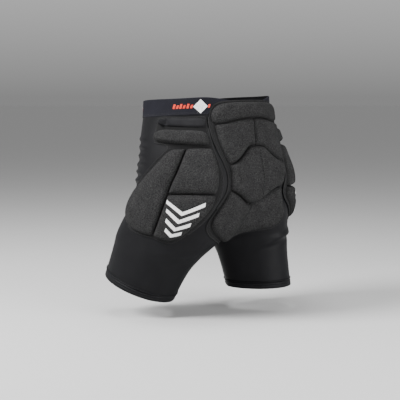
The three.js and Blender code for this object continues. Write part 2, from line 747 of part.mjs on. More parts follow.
function buildRearPanel(shorts) {
  const foamCloth = () => cloth("#303032", 0.95);
  shorts.add(panelSheet("back_panel_base", [backSpan("edge")], backFacet, layBack, cloth("#2c2c2e", 0.9)));
  const lumbar = [backSpan("lumbarTop"), backSpan("lumbarSeam")];
  shorts.add(pad("lumbar_pad", lumbar, layBack, thickness.lumbar, foamCloth()));
  const shield = [backSpan("shieldTop"), backLine("shieldSide", -1), backSpan("shieldBottom"), backLine("shieldSide")];
  shorts.add(pad("tailbone_pad", shield, layBack, thickness.tailbone, foamCloth(), centreCrease));
  for (const [side, leg] of Object.entries(stance)) {
    const lines = (...names) => names.map((name) => backLine(name, leg.sign));
    const upper = lines("upperSeam", "upperSide", "shieldTop", "centreTop");
    shorts.add(pad("upper_pad_" + side, upper, layBack, thickness.upper, foamCloth()));
    const lower = lines("shieldBottom", "lowerSide", "lowerBottom", "centreBottom");
    shorts.add(pad("lower_pad_" + side, lower, layBack, thickness.lower, foamCloth()));
  }
}

function buildSidePanel(shorts, side, sign) {
  const foamCloth = () => cloth("#303032", 0.95);
  const lay = laySide(sign);
  const lines = (...names) => names.map(sideLine);
  const closed = (name) => [[...sideLine(name), sidePoint(sideLines[name][0])]];
  const sheet = lines("edgeRear", "edgeBottom", "edgeFront", "edgeNeck", "edgeTop");
  shorts.add(panelSheet("side_panel_base_" + side, sheet, sideFacet, lay, cloth("#2c2c2e", 0.9)));
  shorts.add(pad("hip_tab_" + side, closed("tab"), lay, thickness.tab, cloth("#29292d", 0.75)));
  shorts.add(pad("hip_bar_pad_" + side, closed("bar"), lay, thickness.bar, foamCloth()));
  const front = lines("slantUpper", "slantLower", "frontBottom", "frontSide");
  shorts.add(pad("front_thigh_pad_" + side, front, lay, thickness.frontThigh, foamCloth()));
  const rearUpper = lines("rearTop", "slantUpper", "middle", "rearUpperSide");
  shorts.add(pad("rear_thigh_pad_upper_" + side, rearUpper, lay, thickness.rearUpper, foamCloth()));
  const rearLower = lines("middle", "slantLower", "rearBottom", "rearLowerSide");
  shorts.add(pad("rear_thigh_pad_lower_" + side, rearLower, lay, thickness.rearLower, foamCloth()));
}

const shorts = new THREE.Group();
buildBands(shorts);
buildRearPanel(shorts);
for (const [side, leg] of Object.entries(stance)) buildSidePanel(shorts, side, leg.sign);

export default shorts;
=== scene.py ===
"""Looks of the padded impact shorts: fine cloth, foam pads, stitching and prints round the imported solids.

Lengths are millimetres in the body frame (+Z up, wearer faces -Y, wearer's left is +X) and turn into
metres where a mesh is made.
"""
import math

import bpy
import numpy as np
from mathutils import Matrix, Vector
from mathutils.geometry import delaunay_2d_cdt


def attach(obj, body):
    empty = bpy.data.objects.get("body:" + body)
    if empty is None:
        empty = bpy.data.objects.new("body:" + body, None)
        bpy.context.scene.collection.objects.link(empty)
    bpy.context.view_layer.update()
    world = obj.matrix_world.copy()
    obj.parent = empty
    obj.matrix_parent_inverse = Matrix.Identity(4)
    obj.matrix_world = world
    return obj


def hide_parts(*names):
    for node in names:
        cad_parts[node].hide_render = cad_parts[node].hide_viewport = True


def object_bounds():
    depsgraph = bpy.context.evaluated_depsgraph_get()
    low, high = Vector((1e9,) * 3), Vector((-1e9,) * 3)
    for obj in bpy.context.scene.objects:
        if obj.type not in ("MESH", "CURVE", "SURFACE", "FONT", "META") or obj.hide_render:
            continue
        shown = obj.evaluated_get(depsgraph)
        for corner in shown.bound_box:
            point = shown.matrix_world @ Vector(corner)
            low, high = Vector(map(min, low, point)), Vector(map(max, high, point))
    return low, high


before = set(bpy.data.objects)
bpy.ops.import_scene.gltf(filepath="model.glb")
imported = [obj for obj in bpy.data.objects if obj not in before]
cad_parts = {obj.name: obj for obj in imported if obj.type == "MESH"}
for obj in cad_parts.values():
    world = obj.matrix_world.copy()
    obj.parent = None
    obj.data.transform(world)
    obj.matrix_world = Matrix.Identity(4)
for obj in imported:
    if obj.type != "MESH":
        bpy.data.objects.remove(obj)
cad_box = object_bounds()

MM = 0.001

# Body sizes at three levels, as in the part's source
WAIST = dict(side=147, lobe=0, front=109, back=110)
HIP = dict(side=171, lobe=84, front=90, back=128)
HEM = dict(side=160, lobe=94, front=74, back=79)
HIP_DROP = 200
LEG_DROP = 178

BAND_HEIGHT = 34
BAND_WALL = 2.2
SHELL_WALL = 1.5
HEM_HEIGHT = 17
HEM_WALL = 2.2
EDGE_LAP = 0.4
SEAM_GAP = 0.02
SEAM_ROUND = 24
BRIDGE_ROUND = 42

BACK_HALF_WIDTH = 100
BACK_HEIGHT = 270
BACK_TOP_MARGIN = 7
WRAP_AXIS = 60
FLANK = -2.5
SIDE_SPAN = 110
SIDE_TOP_MARGIN = 1
SIDE_HEIGHT = 238
PANEL_DRIFT = 17
SEAM_DRIFT = 10
SEAM_DRIFT_WIDTH = 41
DRAWN_ROUND = 1.75
DRAWN_SWELL = 0.55

# Foam: thickness over the panel cloth, width of the rounded shoulder, width of the grooves between pads
THICK = dict(
    lumbar=10.5, upper=11, tailbone=15, lower=12, tab=4.5, bar=13, front=12, rear_upper=11.5, rear_lower=11,
)
SHOULDER = 9
GROOVE = 1.6

# Undersides of the panels and pads over the body, and the panel cloth's wall
PANEL_SEAT = 1.7
PANEL_WALL = 1.6
PAD_SEAT = 3.5

STANCE = {
    "left": dict(sign=1, forward=21, out=4, ride=5, slim=0, trim_across=0, trim_along=0.02),
    "right": dict(sign=-1, forward=-9, out=6.5, ride=-20, slim=0.1, trim_across=-0.08, trim_along=-0.14),
}
HIP_JOINT_ACROSS = 92
HIP_JOINT_DROP = 130
BEND_START = 135
BEND_END = 300
CENTRE_BLEND = 45
WAIST_SLOPE = 0.055
TRIM_START = 0.79

# Sections as in the part's source: drop, side, lobe, front, back, front cleft, back cleft, as shares
TORSO_SECTIONS = [
    (-0.1, 0, 0, 0, 0, 0, 0),
    (0.085, 0.12, 0.06, 0.05, 0, 0, 0),
    (0.275, 0.44, 0.33, 0.38, 0.16, 0, 0),
    (0.5, 0.74, 0.66, 0.95, 0.6, 0, 0),
    (0.75, 0.95, 0.9, 1, 1, 0, 0.1),
    (1, 1, 1, 1, 0.97, 0.2, 0.64),
]
LEG_SECTIONS = [
    (0.22, 0.25, 0.5, 0.1, 0.2, 0.6, 0.8),
    (0.405, 0.5, 0.75, 0.45, 0.48, 1, 1),
    (0.65, 0.83, 0.88, 0.78, 0.78, 1, 1),
    (1, 1, 1, 1, 1, 1, 1),
]

# Lines of the rear panel: across as a share of BACK_HALF_WIDTH, down as a share of BACK_HEIGHT
BACK_LINES = {
    "edge": [
        (0, 0), (0.5, 0.003), (0.78, 0.01), (0.91, 0.03), (0.97, 0.067), (1, 0.12), (1.02, 0.2),
        (1.015, 0.26), (1, 0.322), (0.965, 0.385), (0.93, 0.43), (0.905, 0.48), (0.88, 0.54),
        (0.86, 0.59), (0.86, 0.635), (0.895, 0.675), (0.95, 0.72), (1.005, 0.763), (1.045, 0.8),
        (1.05, 0.835), (1.01, 0.866), (0.9, 0.895), (0.7, 0.92), (0.5, 0.933), (0.3, 0.944),
        (0.14, 0.946), (0, 0.945),
    ],
    "lumbar_top": [
        (0, 0.012), (0.47, 0.015), (0.73, 0.022), (0.86, 0.04), (0.94, 0.07), (0.97, 0.11),
        (0.965, 0.167),
    ],
    "lumbar_seam": [
        (0, 0.135), (0.23, 0.137), (0.44, 0.147), (0.62, 0.16), (0.8, 0.172), (0.965, 0.178),
    ],
    "upper_seam": [(0, 0.135), (0.23, 0.137), (0.44, 0.147), (0.62, 0.16), (0.8, 0.172), (0.94, 0.178)],
    "upper_side": [
        (0.94, 0.178), (0.935, 0.24), (0.925, 0.3), (0.905, 0.36), (0.87, 0.415), (0.83, 0.452),
    ],
    "shield_top": [
        (0, 0.333), (0.2, 0.335), (0.32, 0.36), (0.42, 0.385), (0.54, 0.41), (0.67, 0.433), (0.83, 0.452),
    ],
    "shield_side": [(0.83, 0.452), (0.83, 0.505), (0.82, 0.565), (0.8, 0.617)],
    "shield_bottom": [
        (0, 0.7), (0.14, 0.696), (0.28, 0.68), (0.42, 0.66), (0.56, 0.643), (0.7, 0.627), (0.8, 0.617),
    ],
    "lower_side": [
        (0.8, 0.617), (0.85, 0.66), (0.895, 0.7), (0.945, 0.74), (0.985, 0.775), (0.995, 0.81),
        (0.95, 0.84),
    ],
    "lower_bottom": [
        (0, 0.918), (0.14, 0.92), (0.32, 0.917), (0.5, 0.908), (0.7, 0.892), (0.86, 0.868), (0.95, 0.84),
    ],
    "centre_top": [(0, 0.135), (0, 0.333)],
    "centre_bottom": [(0, 0.7), (0, 0.918)],
}

# Lines of the side panel: around as a share of SIDE_SPAN, down as a share of SIDE_HEIGHT
SIDE_LINES = {
    "edge_rear": [
        (0.085, 0.008), (0.07, 0.113), (0.058, 0.185), (0.043, 0.265), (0.02, 0.35), (0, 0.433),
        (-0.005, 0.508), (0, 0.571), (0.018, 0.634), (0.045, 0.685), (0.073, 0.735), (0.1, 0.777),
        (0.136, 0.824), (0.182, 0.882), (0.218, 0.933), (0.264, 0.979),
    ],
    "edge_bottom": [
        (0.264, 0.979), (0.364, 0.99), (0.45, 0.985), (0.545, 0.998), (0.645, 1.005), (0.745, 1),
        (0.855, 0.96),
    ],
    "edge_front": [
        (0.855, 0.96), (0.964, 0.89), (1.018, 0.782), (0.945, 0.634), (0.764, 0.496), (0.6, 0.357),
        (0.464, 0.256),
    ],
    "edge_neck": [
        (0.464, 0.256), (0.5, 0.227), (0.591, 0.216), (0.64, 0.204), (0.662, 0.176), (0.65, 0.12),
        (0.64, 0.08), (0.635, 0.008),
    ],
    "edge_top": [(0.085, 0.008), (0.25, 0.008), (0.45, 0.008), (0.635, 0.008)],
    "tab": [
        (0.59, 0.016), (0.41, 0.016), (0.22, 0.022), (0.105, 0.034), (0.088, 0.067), (0.095, 0.099),
        (0.164, 0.104), (0.336, 0.096), (0.5, 0.084), (0.59, 0.076), (0.615, 0.045), (0.59, 0.016),
    ],
    "bar": [
        (0.64, 0.172), (0.63, 0.134), (0.59, 0.115), (0.51, 0.105), (0.4, 0.112), (0.255, 0.12),
        (0.136, 0.132), (0.095, 0.15), (0.078, 0.195), (0.082, 0.245), (0.173, 0.246), (0.264, 0.238),
        (0.364, 0.228), (0.445, 0.221), (0.53, 0.21), (0.61, 0.199), (0.64, 0.172),
    ],
    "rear_top": [(0.055, 0.267), (0.164, 0.26), (0.29, 0.262)],
    "slant_upper": [(0.29, 0.262), (0.327, 0.345), (0.373, 0.454), (0.418, 0.542), (0.445, 0.618)],
    "slant_lower": [(0.445, 0.618), (0.466, 0.727), (0.468, 0.849), (0.455, 0.962)],
    "middle": [(0.05, 0.605), (0.164, 0.605), (0.31, 0.608), (0.445, 0.618)],
    "rear_upper_side": [(0.055, 0.267), (0.036, 0.345), (0.024, 0.429), (0.03, 0.513), (0.05, 0.605)],
    "rear_lower_side": [
        (0.05, 0.605), (0.065, 0.676), (0.095, 0.731), (0.136, 0.786), (0.182, 0.849), (0.227, 0.912),
        (0.282, 0.955),
    ],
    "rear_bottom": [(0.282, 0.955), (0.364, 0.97), (0.455, 0.962)],
    "front_bottom": [(0.455, 0.962), (0.545, 0.977), (0.645, 0.984), (0.736, 0.979), (0.84, 0.94)],
    "front_side": [
        (0.84, 0.94), (0.936, 0.875), (0.984, 0.777), (0.915, 0.643), (0.736, 0.509), (0.573, 0.371),
        (0.436, 0.268), (0.29, 0.262),
    ],
}

BAND_TOP = BAND_HEIGHT / 2
BAND_BOTTOM = -BAND_HEIGHT / 2
SHELL_TOP = BAND_BOTTOM + EDGE_LAP
HEM_BOTTOM = -HIP_DROP - LEG_DROP
HEM_TOP = HEM_BOTTOM + HEM_HEIGHT
SHELL_BOTTOM = HEM_TOP - EDGE_LAP
PER_DEGREE = math.radians(HIP["side"] - WRAP_AXIS)
SIDE_REAR = math.degrees(math.asin((BACK_HALF_WIDTH + FLANK - WRAP_AXIS) / (HIP["side"] - WRAP_AXIS)))


def mix(a, b, t):
    return a + (b - a) * t


def smooth(a, b, x):
    t = np.clip((x - a) / (b - a), 0, 1)
    return t * t * (3 - 2 * t)


def unit(vectors):
    return vectors / np.linalg.norm(vectors, axis=1, keepdims=True)


def closed_line(points):
    """A line that ends where it starts."""
    return np.vstack([points, points[:1]])


def lengths_along(line):
    return np.concatenate([[0], np.cumsum(np.linalg.norm(np.diff(line, axis=0), axis=1))])


def at_lengths(at, along, values):
    """Rows of values between those known at the lengths along a line."""
    return np.stack([np.interp(at, along, column) for column in values.T], 1)


# The body's surface

def section_table():
    """Heights and sizes of the section rows, lowest first."""
    rows = []
    for table, start, end, top, height in (
        (TORSO_SECTIONS, WAIST, HIP, 0, HIP_DROP),
        (LEG_SECTIONS, HIP, HEM, HIP_DROP, LEG_DROP),
    ):
        for drop, side, lobe, front, back, cleft_front, cleft_back in table:
            shares = dict(side=side, lobe=lobe, front=front, back=back)
            sizes = [mix(start[key], end[key], share) for key, share in shares.items()]
            rows.append([-(top + drop * height), *sizes, cleft_front, cleft_back])
    return np.array(rows[::-1], float)


def column_slopes(heights, values):
    """Slopes of a monotone cubic through one column."""
    step = np.diff(heights)
    rise = np.diff(values) / step
    slopes = np.zeros_like(values)
    slopes[0], slopes[-1] = rise[0], rise[-1]
    for i in range(1, len(values) - 1):
        if rise[i - 1] * rise[i] > 0:
            below = 2 * step[i] + step[i - 1]
            above = step[i] + 2 * step[i - 1]
            slopes[i] = (below + above) / (below / rise[i - 1] + above / rise[i])
    return slopes


ROWS = section_table()
SLOPES = np.stack([column_slopes(ROWS[:, 0], ROWS[:, k]) for k in range(1, 7)], 1)


def section_at(z):
    """Sizes of the level section at each height: side, lobe, front, back and the two clefts."""
    i = np.clip(np.searchsorted(ROWS[:, 0], z, side="left") - 1, 0, len(ROWS) - 2)
    height = ROWS[i + 1, 0] - ROWS[i, 0]
    t = (z - ROWS[i, 0]) / height
    from_low, slope_low = (1 + 2 * t) * (1 - t) ** 2, t * (1 - t) ** 2 * height
    from_high, slope_high = t * t * (3 - 2 * t), t * t * (t - 1) * height
    return [
        from_low * ROWS[i, k + 1] + slope_low * SLOPES[i, k]
        + from_high * ROWS[i + 1, k + 1] + slope_high * SLOPES[i + 1, k]
        for k in range(6)
    ]


def body_field(x, y, z, rounding, section=None):
    """Below 0 inside the body."""
    side, lobe, front, back, cleft_front, cleft_back = section_at(z) if section is None else section
    far = np.abs(x)
    softened = np.where(far < rounding, (far * far / rounding + rounding) / 2, far)
    past = softened - lobe
    cleft = mix(cleft_front, cleft_back, smooth(-0.3 * front, 0.3 * front, y))
    across = np.where(past < 0, past * cleft, past) / (side - lobe)
    along = y / np.where(y > 0, back, front)
    return np.hypot(across, along) - 1


def on_ray(x, angle, z, rounding=SEAM_ROUND):
    """Surface points on level rays from (x, 0, z), turned by angle from +Y towards +X."""
    x, angle, z, rounding = (np.asarray(v, float) for v in np.broadcast_arrays(x, angle, z, rounding))
    dx, dy = np.sin(angle), np.cos(angle)
    section = section_at(z)
    near = np.zeros_like(z)
    far = np.full_like(z, 2.0 * HIP["side"])
    crosses = x * dx < -1e-12
    far = np.where(crosses, np.minimum(far, -x / np.where(crosses, dx, 1)), far)
    for _ in range(38):
        middle = (near + far) / 2
        inside = body_field(x + dx * middle, dy * middle, z, rounding, section) < 0
        near = np.where(inside, middle, near)
        far = np.where(inside, far, middle)
    return np.stack([x + dx * near, dy * near, z], -1)


def swing(p, leg):
    """Turn points about a thigh's hip joint, after the slope of the hem."""
    sign = leg["sign"]
    centre = sign * HIP_JOINT_ACROSS
    low = smooth(-HEM_TOP * TRIM_START, -HEM_BOTTOM, -p[:, 2])
    trim = low * (leg["trim_along"] * p[:, 1] + sign * leg["trim_across"] * (p[:, 0] - centre))
    full = 1 - leg["slim"]
    x, y, z = (p[:, 0] - centre) * full, p[:, 1] * full, p[:, 2] + trim + HIP_JOINT_DROP
    a, b = -math.radians(leg["forward"]), -sign * math.radians(leg["out"])
    y, z = y * math.cos(a) - z * math.sin(a), y * math.sin(a) + z * math.cos(a)
    x, z = x * math.cos(b) + z * math.sin(b), -x * math.sin(b) + z * math.cos(b)
    return np.stack([x + centre, y, z - HIP_JOINT_DROP], -1)


def pose(p):
    """Take points of the straight-standing garment to its stance."""
    bend = smooth(BEND_START, BEND_END, -p[:, 2])[:, None]
    left = smooth(-CENTRE_BLEND, CENTRE_BLEND, p[:, 0])[:, None]
    posed = p + (swing(p, STANCE["left"]) - p) * bend * left
    posed += (swing(p, STANCE["right"]) - p) * bend * (1 - left)
    posed[:, 2] += WAIST_SLOPE * p[:, 1] * smooth(-0.7 * HIP_DROP, -0.15 * HIP_DROP, p[:, 2])
    return posed


def outward(p, rounding):
    """Outward unit directions of the posed surface."""
    d = 0.05
    steps = np.eye(3) * d
    slope = [
        body_field(*(p + s).T, rounding) - body_field(*(p - s).T, rounding)
        for s in steps
    ]
    change = [pose(p + s) - pose(p - s) for s in steps]
    n = sum(
        slope[k][:, None] * np.cross(change[(k + 1) % 3], change[(k + 2) % 3])
        for k in range(3)
    )
    return unit(n)


def proud(p, height, rounding=SEAM_ROUND):
    """Posed points that stand proud of the body by height."""
    height = np.broadcast_to(np.asarray(height, float), len(p))
    return pose(p) + outward(p, rounding) * height[:, None]


# Meshes and objects

def make_object(name, points, faces, material, sharp=50):
    """A smooth-shaded object from points in millimetres, its faces turned outward."""
    mesh = bpy.data.meshes.new(name)
    mesh.from_pydata((np.asarray(points) * MM).tolist(), [], [tuple(map(int, f)) for f in faces])
    mesh.materials.append(material)
    volume = 0.0
    coordinates = np.asarray(points)
    for size in (3, 4):
        chosen = np.array([f for f in faces if len(f) == size], int).reshape(-1, size)
        for second in range(1, size - 1):
            a, b, c = (coordinates[chosen[:, k]] for k in (0, second, second + 1))
            volume += float((a * np.cross(b, c)).sum())
    if volume < 0:
        mesh.flip_normals()
    mesh.shade_smooth()
    mesh.set_sharp_from_angle(angle=math.radians(sharp))
    return link_object(name, mesh)


def link_object(name, data):
    """A mesh, light or camera as an object in the scene."""
    thing = bpy.data.objects.new(name, data)
    bpy.context.scene.collection.objects.link(thing)
    return thing


def finish_piece(piece, nodes=()):
    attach(piece, "root")
    if nodes:
        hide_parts(*nodes)


def ring_faces(rows, columns):
    """Quads between closed rings of points, one ring after another."""
    i, j = np.meshgrid(np.arange(rows - 1), np.arange(columns), indexing="ij")
    k = (j + 1) % columns
    corners = i * columns + j, i * columns + k, (i + 1) * columns + k, (i + 1) * columns + j
    return np.stack(corners, -1).reshape(-1, 4)


# Flat outlines

# Rings of mesh points inside an edge, the step along the edge, and the grid's step and row height
INSETS = (0.5, 1.1, 1.9, 2.9, 4.1, 5.6, 7.6, 10)
EDGE_STEP = 1.6
FIELD_STEP = 3.2
TRIANGLE_ROW = 0.866

def curve(points, step):
    """Points at an even step on the smooth curve through a line's points, with free ends."""
    p = np.asarray(points, float)
    if len(p) == 2:
        fine = p
    else:
        p = np.vstack([2 * p[0] - p[1], p, 2 * p[-1] - p[-2]])
        pieces = []
        for a, b, c, d in zip(p, p[1:], p[2:], p[3:]):
            t0, t1, t2 = (max(1e-4, np.linalg.norm(v) ** 0.5) for v in (b - a, c - b, d - c))
            m1 = ((b - a) / t0 - (c - a) / (t0 + t1) + (c - b) / t1) * t1
            m2 = ((c - b) / t1 - (d - b) / (t1 + t2) + (d - c) / t2) * t1
            t = np.linspace(0, 1, 40, endpoint=False)[:, None]
            pieces.append(b + m1 * t + (3 * (c - b) - 2 * m1 - m2) * t**2 + (2 * (b - c) + m1 + m2) * t**3)
        fine = np.vstack([*pieces, p[-2]])
    return spaced(fine, step)


def spaced(line, step, closed=False):
    """A polyline's points at an even step."""
    if closed:
        line = closed_line(line)
    along = lengths_along(line)
    count = max(2, int(round(along[-1] / step)) + 1)
    out = at_lengths(np.linspace(0, along[-1], count), along, line)
    return out[:-1] if closed else out


def closed_outline(lines, passes=32, step=1.0):
    """Closed outline from lines laid end to end, its corners rounded by even passes."""
    outline = curve(lines[0], step)
    for line in lines[1:]:
        points = curve(line, step)
        if np.linalg.norm(outline[-1] - points[0]) > np.linalg.norm(outline[-1] - points[-1]):
            points = points[::-1]
        outline = np.vstack([outline, points[1:]])
    if np.linalg.norm(outline[0] - outline[-1]) < step / 2:
        outline = outline[:-1]
    for _ in range(passes):
        outline = (np.roll(outline, 1, 0) + 2 * outline + np.roll(outline, -1, 0)) / 4
    x, y = outline.T
    if (x * np.roll(y, -1) - np.roll(x, -1) * y).sum() < 0:
        outline = outline[::-1]
    return outline


def depth_inside(p, outline):
    """Distance to a closed outline, above 0 inside it."""
    depths = []
    a, b = outline, np.roll(outline, -1, 0)
    side = b - a
    length = (side**2).sum(1)
    for part in np.array_split(p, max(1, len(p) // 2000 + 1)):
        if not len(part):
            continue
        rel = part[:, None, :] - a[None]
        t = np.clip((rel * side).sum(2) / length, 0, 1)
        near = np.sqrt(((rel - t[..., None] * side) ** 2).sum(2)).min(1)
        above = (a[:, 1] > part[:, None, 1]) != (b[:, 1] > part[:, None, 1])
        rise = np.where(np.abs(side[:, 1]) > 1e-12, side[:, 1], 1)
        hits = above & (part[:, None, 0] < side[:, 0] * rel[..., 1] / rise + a[:, 0])
        depths.append(np.where(hits.sum(1) % 2 == 1, near, -near))
    return np.concatenate(depths) if depths else np.zeros(0)


def inset_outline(outline, distance):
    along = unit(np.roll(outline, -1, 0) - np.roll(outline, 1, 0))
    moved = outline + distance * np.stack([-along[:, 1], along[:, 0]], 1)
    return moved[depth_inside(moved, outline) > distance * 0.985]


def field_points(outline, spacing, margin):
    """Points of an even triangle grid that lie further inside an outline than margin."""
    low, high = outline.min(0), outline.max(0)
    rows = np.arange(low[1], high[1], spacing * TRIANGLE_ROW)
    points = []
    for k, y in enumerate(rows):
        x = np.arange(low[0] + (k % 2) * spacing / 2, high[0], spacing)
        points.append(np.stack([x, np.full_like(x, y)], 1))
    points = np.vstack(points)
    return points[depth_inside(points, outline) > margin]


def fill_outline(edge, inner):
    """Triangles over an outline's points and the points inside it."""
    points = np.vstack([edge, inner])
    count = len(edge)
    edges = [(i, (i + 1) % count) for i in range(count)]
    found = delaunay_2d_cdt([Vector(p) for p in points], edges, [], 1, 1e-6)
    old = [max(where) if where else -1 for where in found[3]]
    return points, [[old[k] for k in face] for face in found[2]]


def layer(name, outline, lay, seat, height, material, insets=INSETS, spacing=FIELD_STEP):
    """Closed piece over an outline on the curved surface: height gives the top's height over seat."""
    edge = spaced(outline, EDGE_STEP, closed=True)
    inner = []
    last = 0
    for inset in insets:
        ring = inset_outline(outline, inset)
        if len(ring) < len(outline) / 3:
            break
        inner.append(spaced(ring, EDGE_STEP * (1 + inset / 12), closed=True))
        last = inset
    inner.append(field_points(outline, spacing, last + spacing * 0.6))
    top, top_faces = fill_outline(edge, np.vstack(inner))
    low, low_faces = fill_outline(edge, field_points(outline, 9, 5))
    depth = np.maximum(0, depth_inside(top, outline))
    points = np.vstack([lay(top, seat(top) + height(top, depth)), lay(low, seat(low))])
    count = len(edge)
    start = len(top)
    faces = [list(f) for f in top_faces]
    faces += [[start + f[0], start + f[2], start + f[1]] for f in low_faces]
    for i in range(count):
        k = (i + 1) % count
        faces.append([k, i, start + i, start + k])
    return make_object(name, points, faces, material)


def back_point(row, sign=1):
    across, down = row
    return sign * across * BACK_HALF_WIDTH, BAND_TOP - BACK_TOP_MARGIN - down * BACK_HEIGHT


def back_line(name, sign=1):
    return np.array([back_point(row, sign) for row in BACK_LINES[name]])


def back_span(name):
    return np.vstack([back_line(name)[::-1], back_line(name, -1)[1:]])


def back_lines(sign, *names):
    return [back_line(name, sign) for name in names]


def band_lift(z):
    """How much further out the panels lie towards the thicker waistband."""
    upper = smooth(BAND_BOTTOM - 1.4 * BAND_HEIGHT, BAND_BOTTOM - 0.06 * BAND_HEIGHT, z)
    return (BAND_WALL - SHELL_WALL) * upper


def sideways(z):
    """How far the panels are drawn towards the forward thigh."""
    return PANEL_DRIFT * smooth(-0.6 * HIP_DROP, -0.97 * HIP_DROP, z)


def seam_sideways(x, z):
    """The further draw of the rear centre seam."""
    return SEAM_DRIFT * np.exp(-((x / SEAM_DRIFT_WIDTH) ** 2)) * smooth(-0.88 * HIP_DROP, -HIP_DROP, z)


def ride(x, z):
    """How far the rear panel's lower corners lie higher or lower in each thigh's stance."""
    corner = smooth(-0.88 * HIP_DROP, -1.12 * HIP_DROP, z)
    left, right = (STANCE[side]["ride"] for side in STANCE)
    return corner * (left * smooth(10, 80, x) + right * smooth(10, 80, -x))


def lay_back(flat, height):
    x, z = flat.T
    flat = np.stack([x + sideways(z) + seam_sideways(x, z), z + ride(x, z)], 1)
    rounding = mix(SEAM_ROUND, BRIDGE_ROUND, smooth(0.6 * HIP_DROP, HIP_DROP, -flat[:, 1]))
    p = on_ray(flat[:, 0], 0.0, flat[:, 1], rounding)
    return proud(p, height + band_lift(flat[:, 1]), rounding)


def side_point(row):
    around, down = row
    return (SIDE_REAR + around * SIDE_SPAN) * PER_DEGREE, BAND_BOTTOM - SIDE_TOP_MARGIN - down * SIDE_HEIGHT


def side_line(name):
    return np.array([side_point(row) for row in SIDE_LINES[name]])


def side_lines(*names):
    return [side_line(name) for name in names]


def lay_side(sign):
    """The way onto a hip for flat points, whose x runs round the hip."""
    def lay(flat, height):
        x, z = flat.T
        border = np.clip(1 - (x / PER_DEGREE - SIDE_REAR) / SIDE_SPAN, 0, 1)
        share = border**2 if sign < 0 else np.zeros_like(x)
        swell = 1 + DRAWN_SWELL * share * smooth(-0.25 * HIP_DROP, -0.7 * HIP_DROP, z)
        p = on_ray(WRAP_AXIS, np.radians((x - DRAWN_ROUND * sideways(z) * share) / PER_DEGREE), z)
        p[:, 0] *= sign
        return proud(p, height * swell + band_lift(z))
    return lay


# Materials

def new_material(name, roughness, ior=1.3):
    material = bpy.data.materials.new(name)
    material.use_nodes = True
    shader = material.node_tree.nodes["Principled BSDF"]
    shader.inputs["Roughness"].default_value = roughness
    shader.inputs["IOR"].default_value = ior
    return material, material.node_tree, shader


def add(tree, kind, **values):
    node = tree.nodes.new(kind)
    for key, value in values.items():
        if key in node.inputs:
            node.inputs[key].default_value = value
        else:
            setattr(node, key, value)
    return node


def noise(tree, scale, detail=3.0, roughness=0.55):
    coordinates = add(tree, "ShaderNodeTexCoord")
    node = add(tree, "ShaderNodeTexNoise", Scale=scale, Detail=detail, Roughness=roughness)
    tree.links.new(coordinates.outputs["Object"], node.inputs["Vector"])
    return node.outputs["Fac"]


def ramp(tree, factor, stops):
    node = add(tree, "ShaderNodeValToRGB")
    elements = node.color_ramp.elements
    while len(elements) < len(stops):
        elements.new(0.5)
    for element, (position, colour) in zip(elements, stops):
        element.position = position
        element.color = (*colour, 1)
    tree.links.new(factor, node.inputs["Fac"])
    return node.outputs["Color"]


def paint(tree, shader, factor, stops):
    """Colour the surface between stops by a factor."""
    tree.links.new(ramp(tree, factor, stops), shader.inputs["Base Color"])


def bump(tree, shader, height, strength, distance, before=None):
    node = add(tree, "ShaderNodeBump", Strength=strength, Distance=distance)
    tree.links.new(height, node.inputs["Height"])
    if before is not None:
        tree.links.new(before, node.inputs["Normal"])
    tree.links.new(node.outputs["Normal"], shader.inputs["Normal"])
    return node.outputs["Normal"]


def foam_cloth():
    """Brushed loop cloth over foam: near black with a soft mottled fleck and a short nap."""
    material, tree, shader = new_material("foam_cloth", 1.0, ior=1.06)
    fleck = noise(tree, 620, 3, 0.6)
    cloud = noise(tree, 38, 3, 0.55)
    flecks = ramp(tree, fleck, [
        (0.34, (0.0085, 0.0085, 0.0087)),
        (0.5, (0.0205, 0.0205, 0.021)),
        (0.68, (0.044, 0.044, 0.043)),
    ])
    clouds = ramp(tree, cloud, [(0.3, (0.88, 0.88, 0.88)), (0.7, (1.1, 1.1, 1.1))])
    both = add(tree, "ShaderNodeMix", data_type="RGBA", blend_type="MULTIPLY")
    both.inputs["Factor"].default_value = 1
    tree.links.new(flecks, both.inputs["A"])
    tree.links.new(clouds, both.inputs["B"])
    tree.links.new(both.outputs["Result"], shader.inputs["Base Color"])
    coarse = bump(tree, shader, noise(tree, 560, 3, 0.6), 0.6, 0.0007)
    bump(tree, shader, noise(tree, 1500, 2, 0.6), 0.4, 0.0003, coarse)
    return material


def knit_cloth(name, dark, light, roughness, rib, ior=1.1):
    """Fine knitted stretch cloth: narrow wales, a satin face and a slight cloudiness."""
    material, tree, shader = new_material(name, roughness, ior)
    paint(tree, shader, noise(tree, 26, 4, 0.6), [(0.3, dark), (0.72, light)])
    coordinates = add(tree, "ShaderNodeTexCoord")
    wales = add(tree, "ShaderNodeTexWave", Scale=rib, Distortion=1.2, Detail=1.0)
    wales.bands_direction = "Z"
    tree.links.new(coordinates.outputs["Object"], wales.inputs["Vector"])
    first = bump(tree, shader, wales.outputs["Fac"], 0.25, 0.00025)
    bump(tree, shader, noise(tree, 900, 3, 0.6), 0.25, 0.0002, first)
    return material


def thread():
    """Dull sewing thread."""
    material, tree, shader = new_material("thread", 0.7)
    paint(tree, shader, noise(tree, 300), [(0.3, (0.016, 0.016, 0.017)), (0.7, (0.028, 0.028, 0.03))])
    bump(tree, shader, noise(tree, 2500, 2), 0.4, 0.0002)
    return material


def transfer(name, dark, light):
    """Rubbery transfer print that lets the cloth's grain through."""
    material, tree, shader = new_material(name, 0.55)
    paint(tree, shader, noise(tree, 420, 3, 0.6), [(0.35, dark), (0.6, light)])
    bump(tree, shader, noise(tree, 480, 4, 0.65), 0.3, 0.0004)
    return material


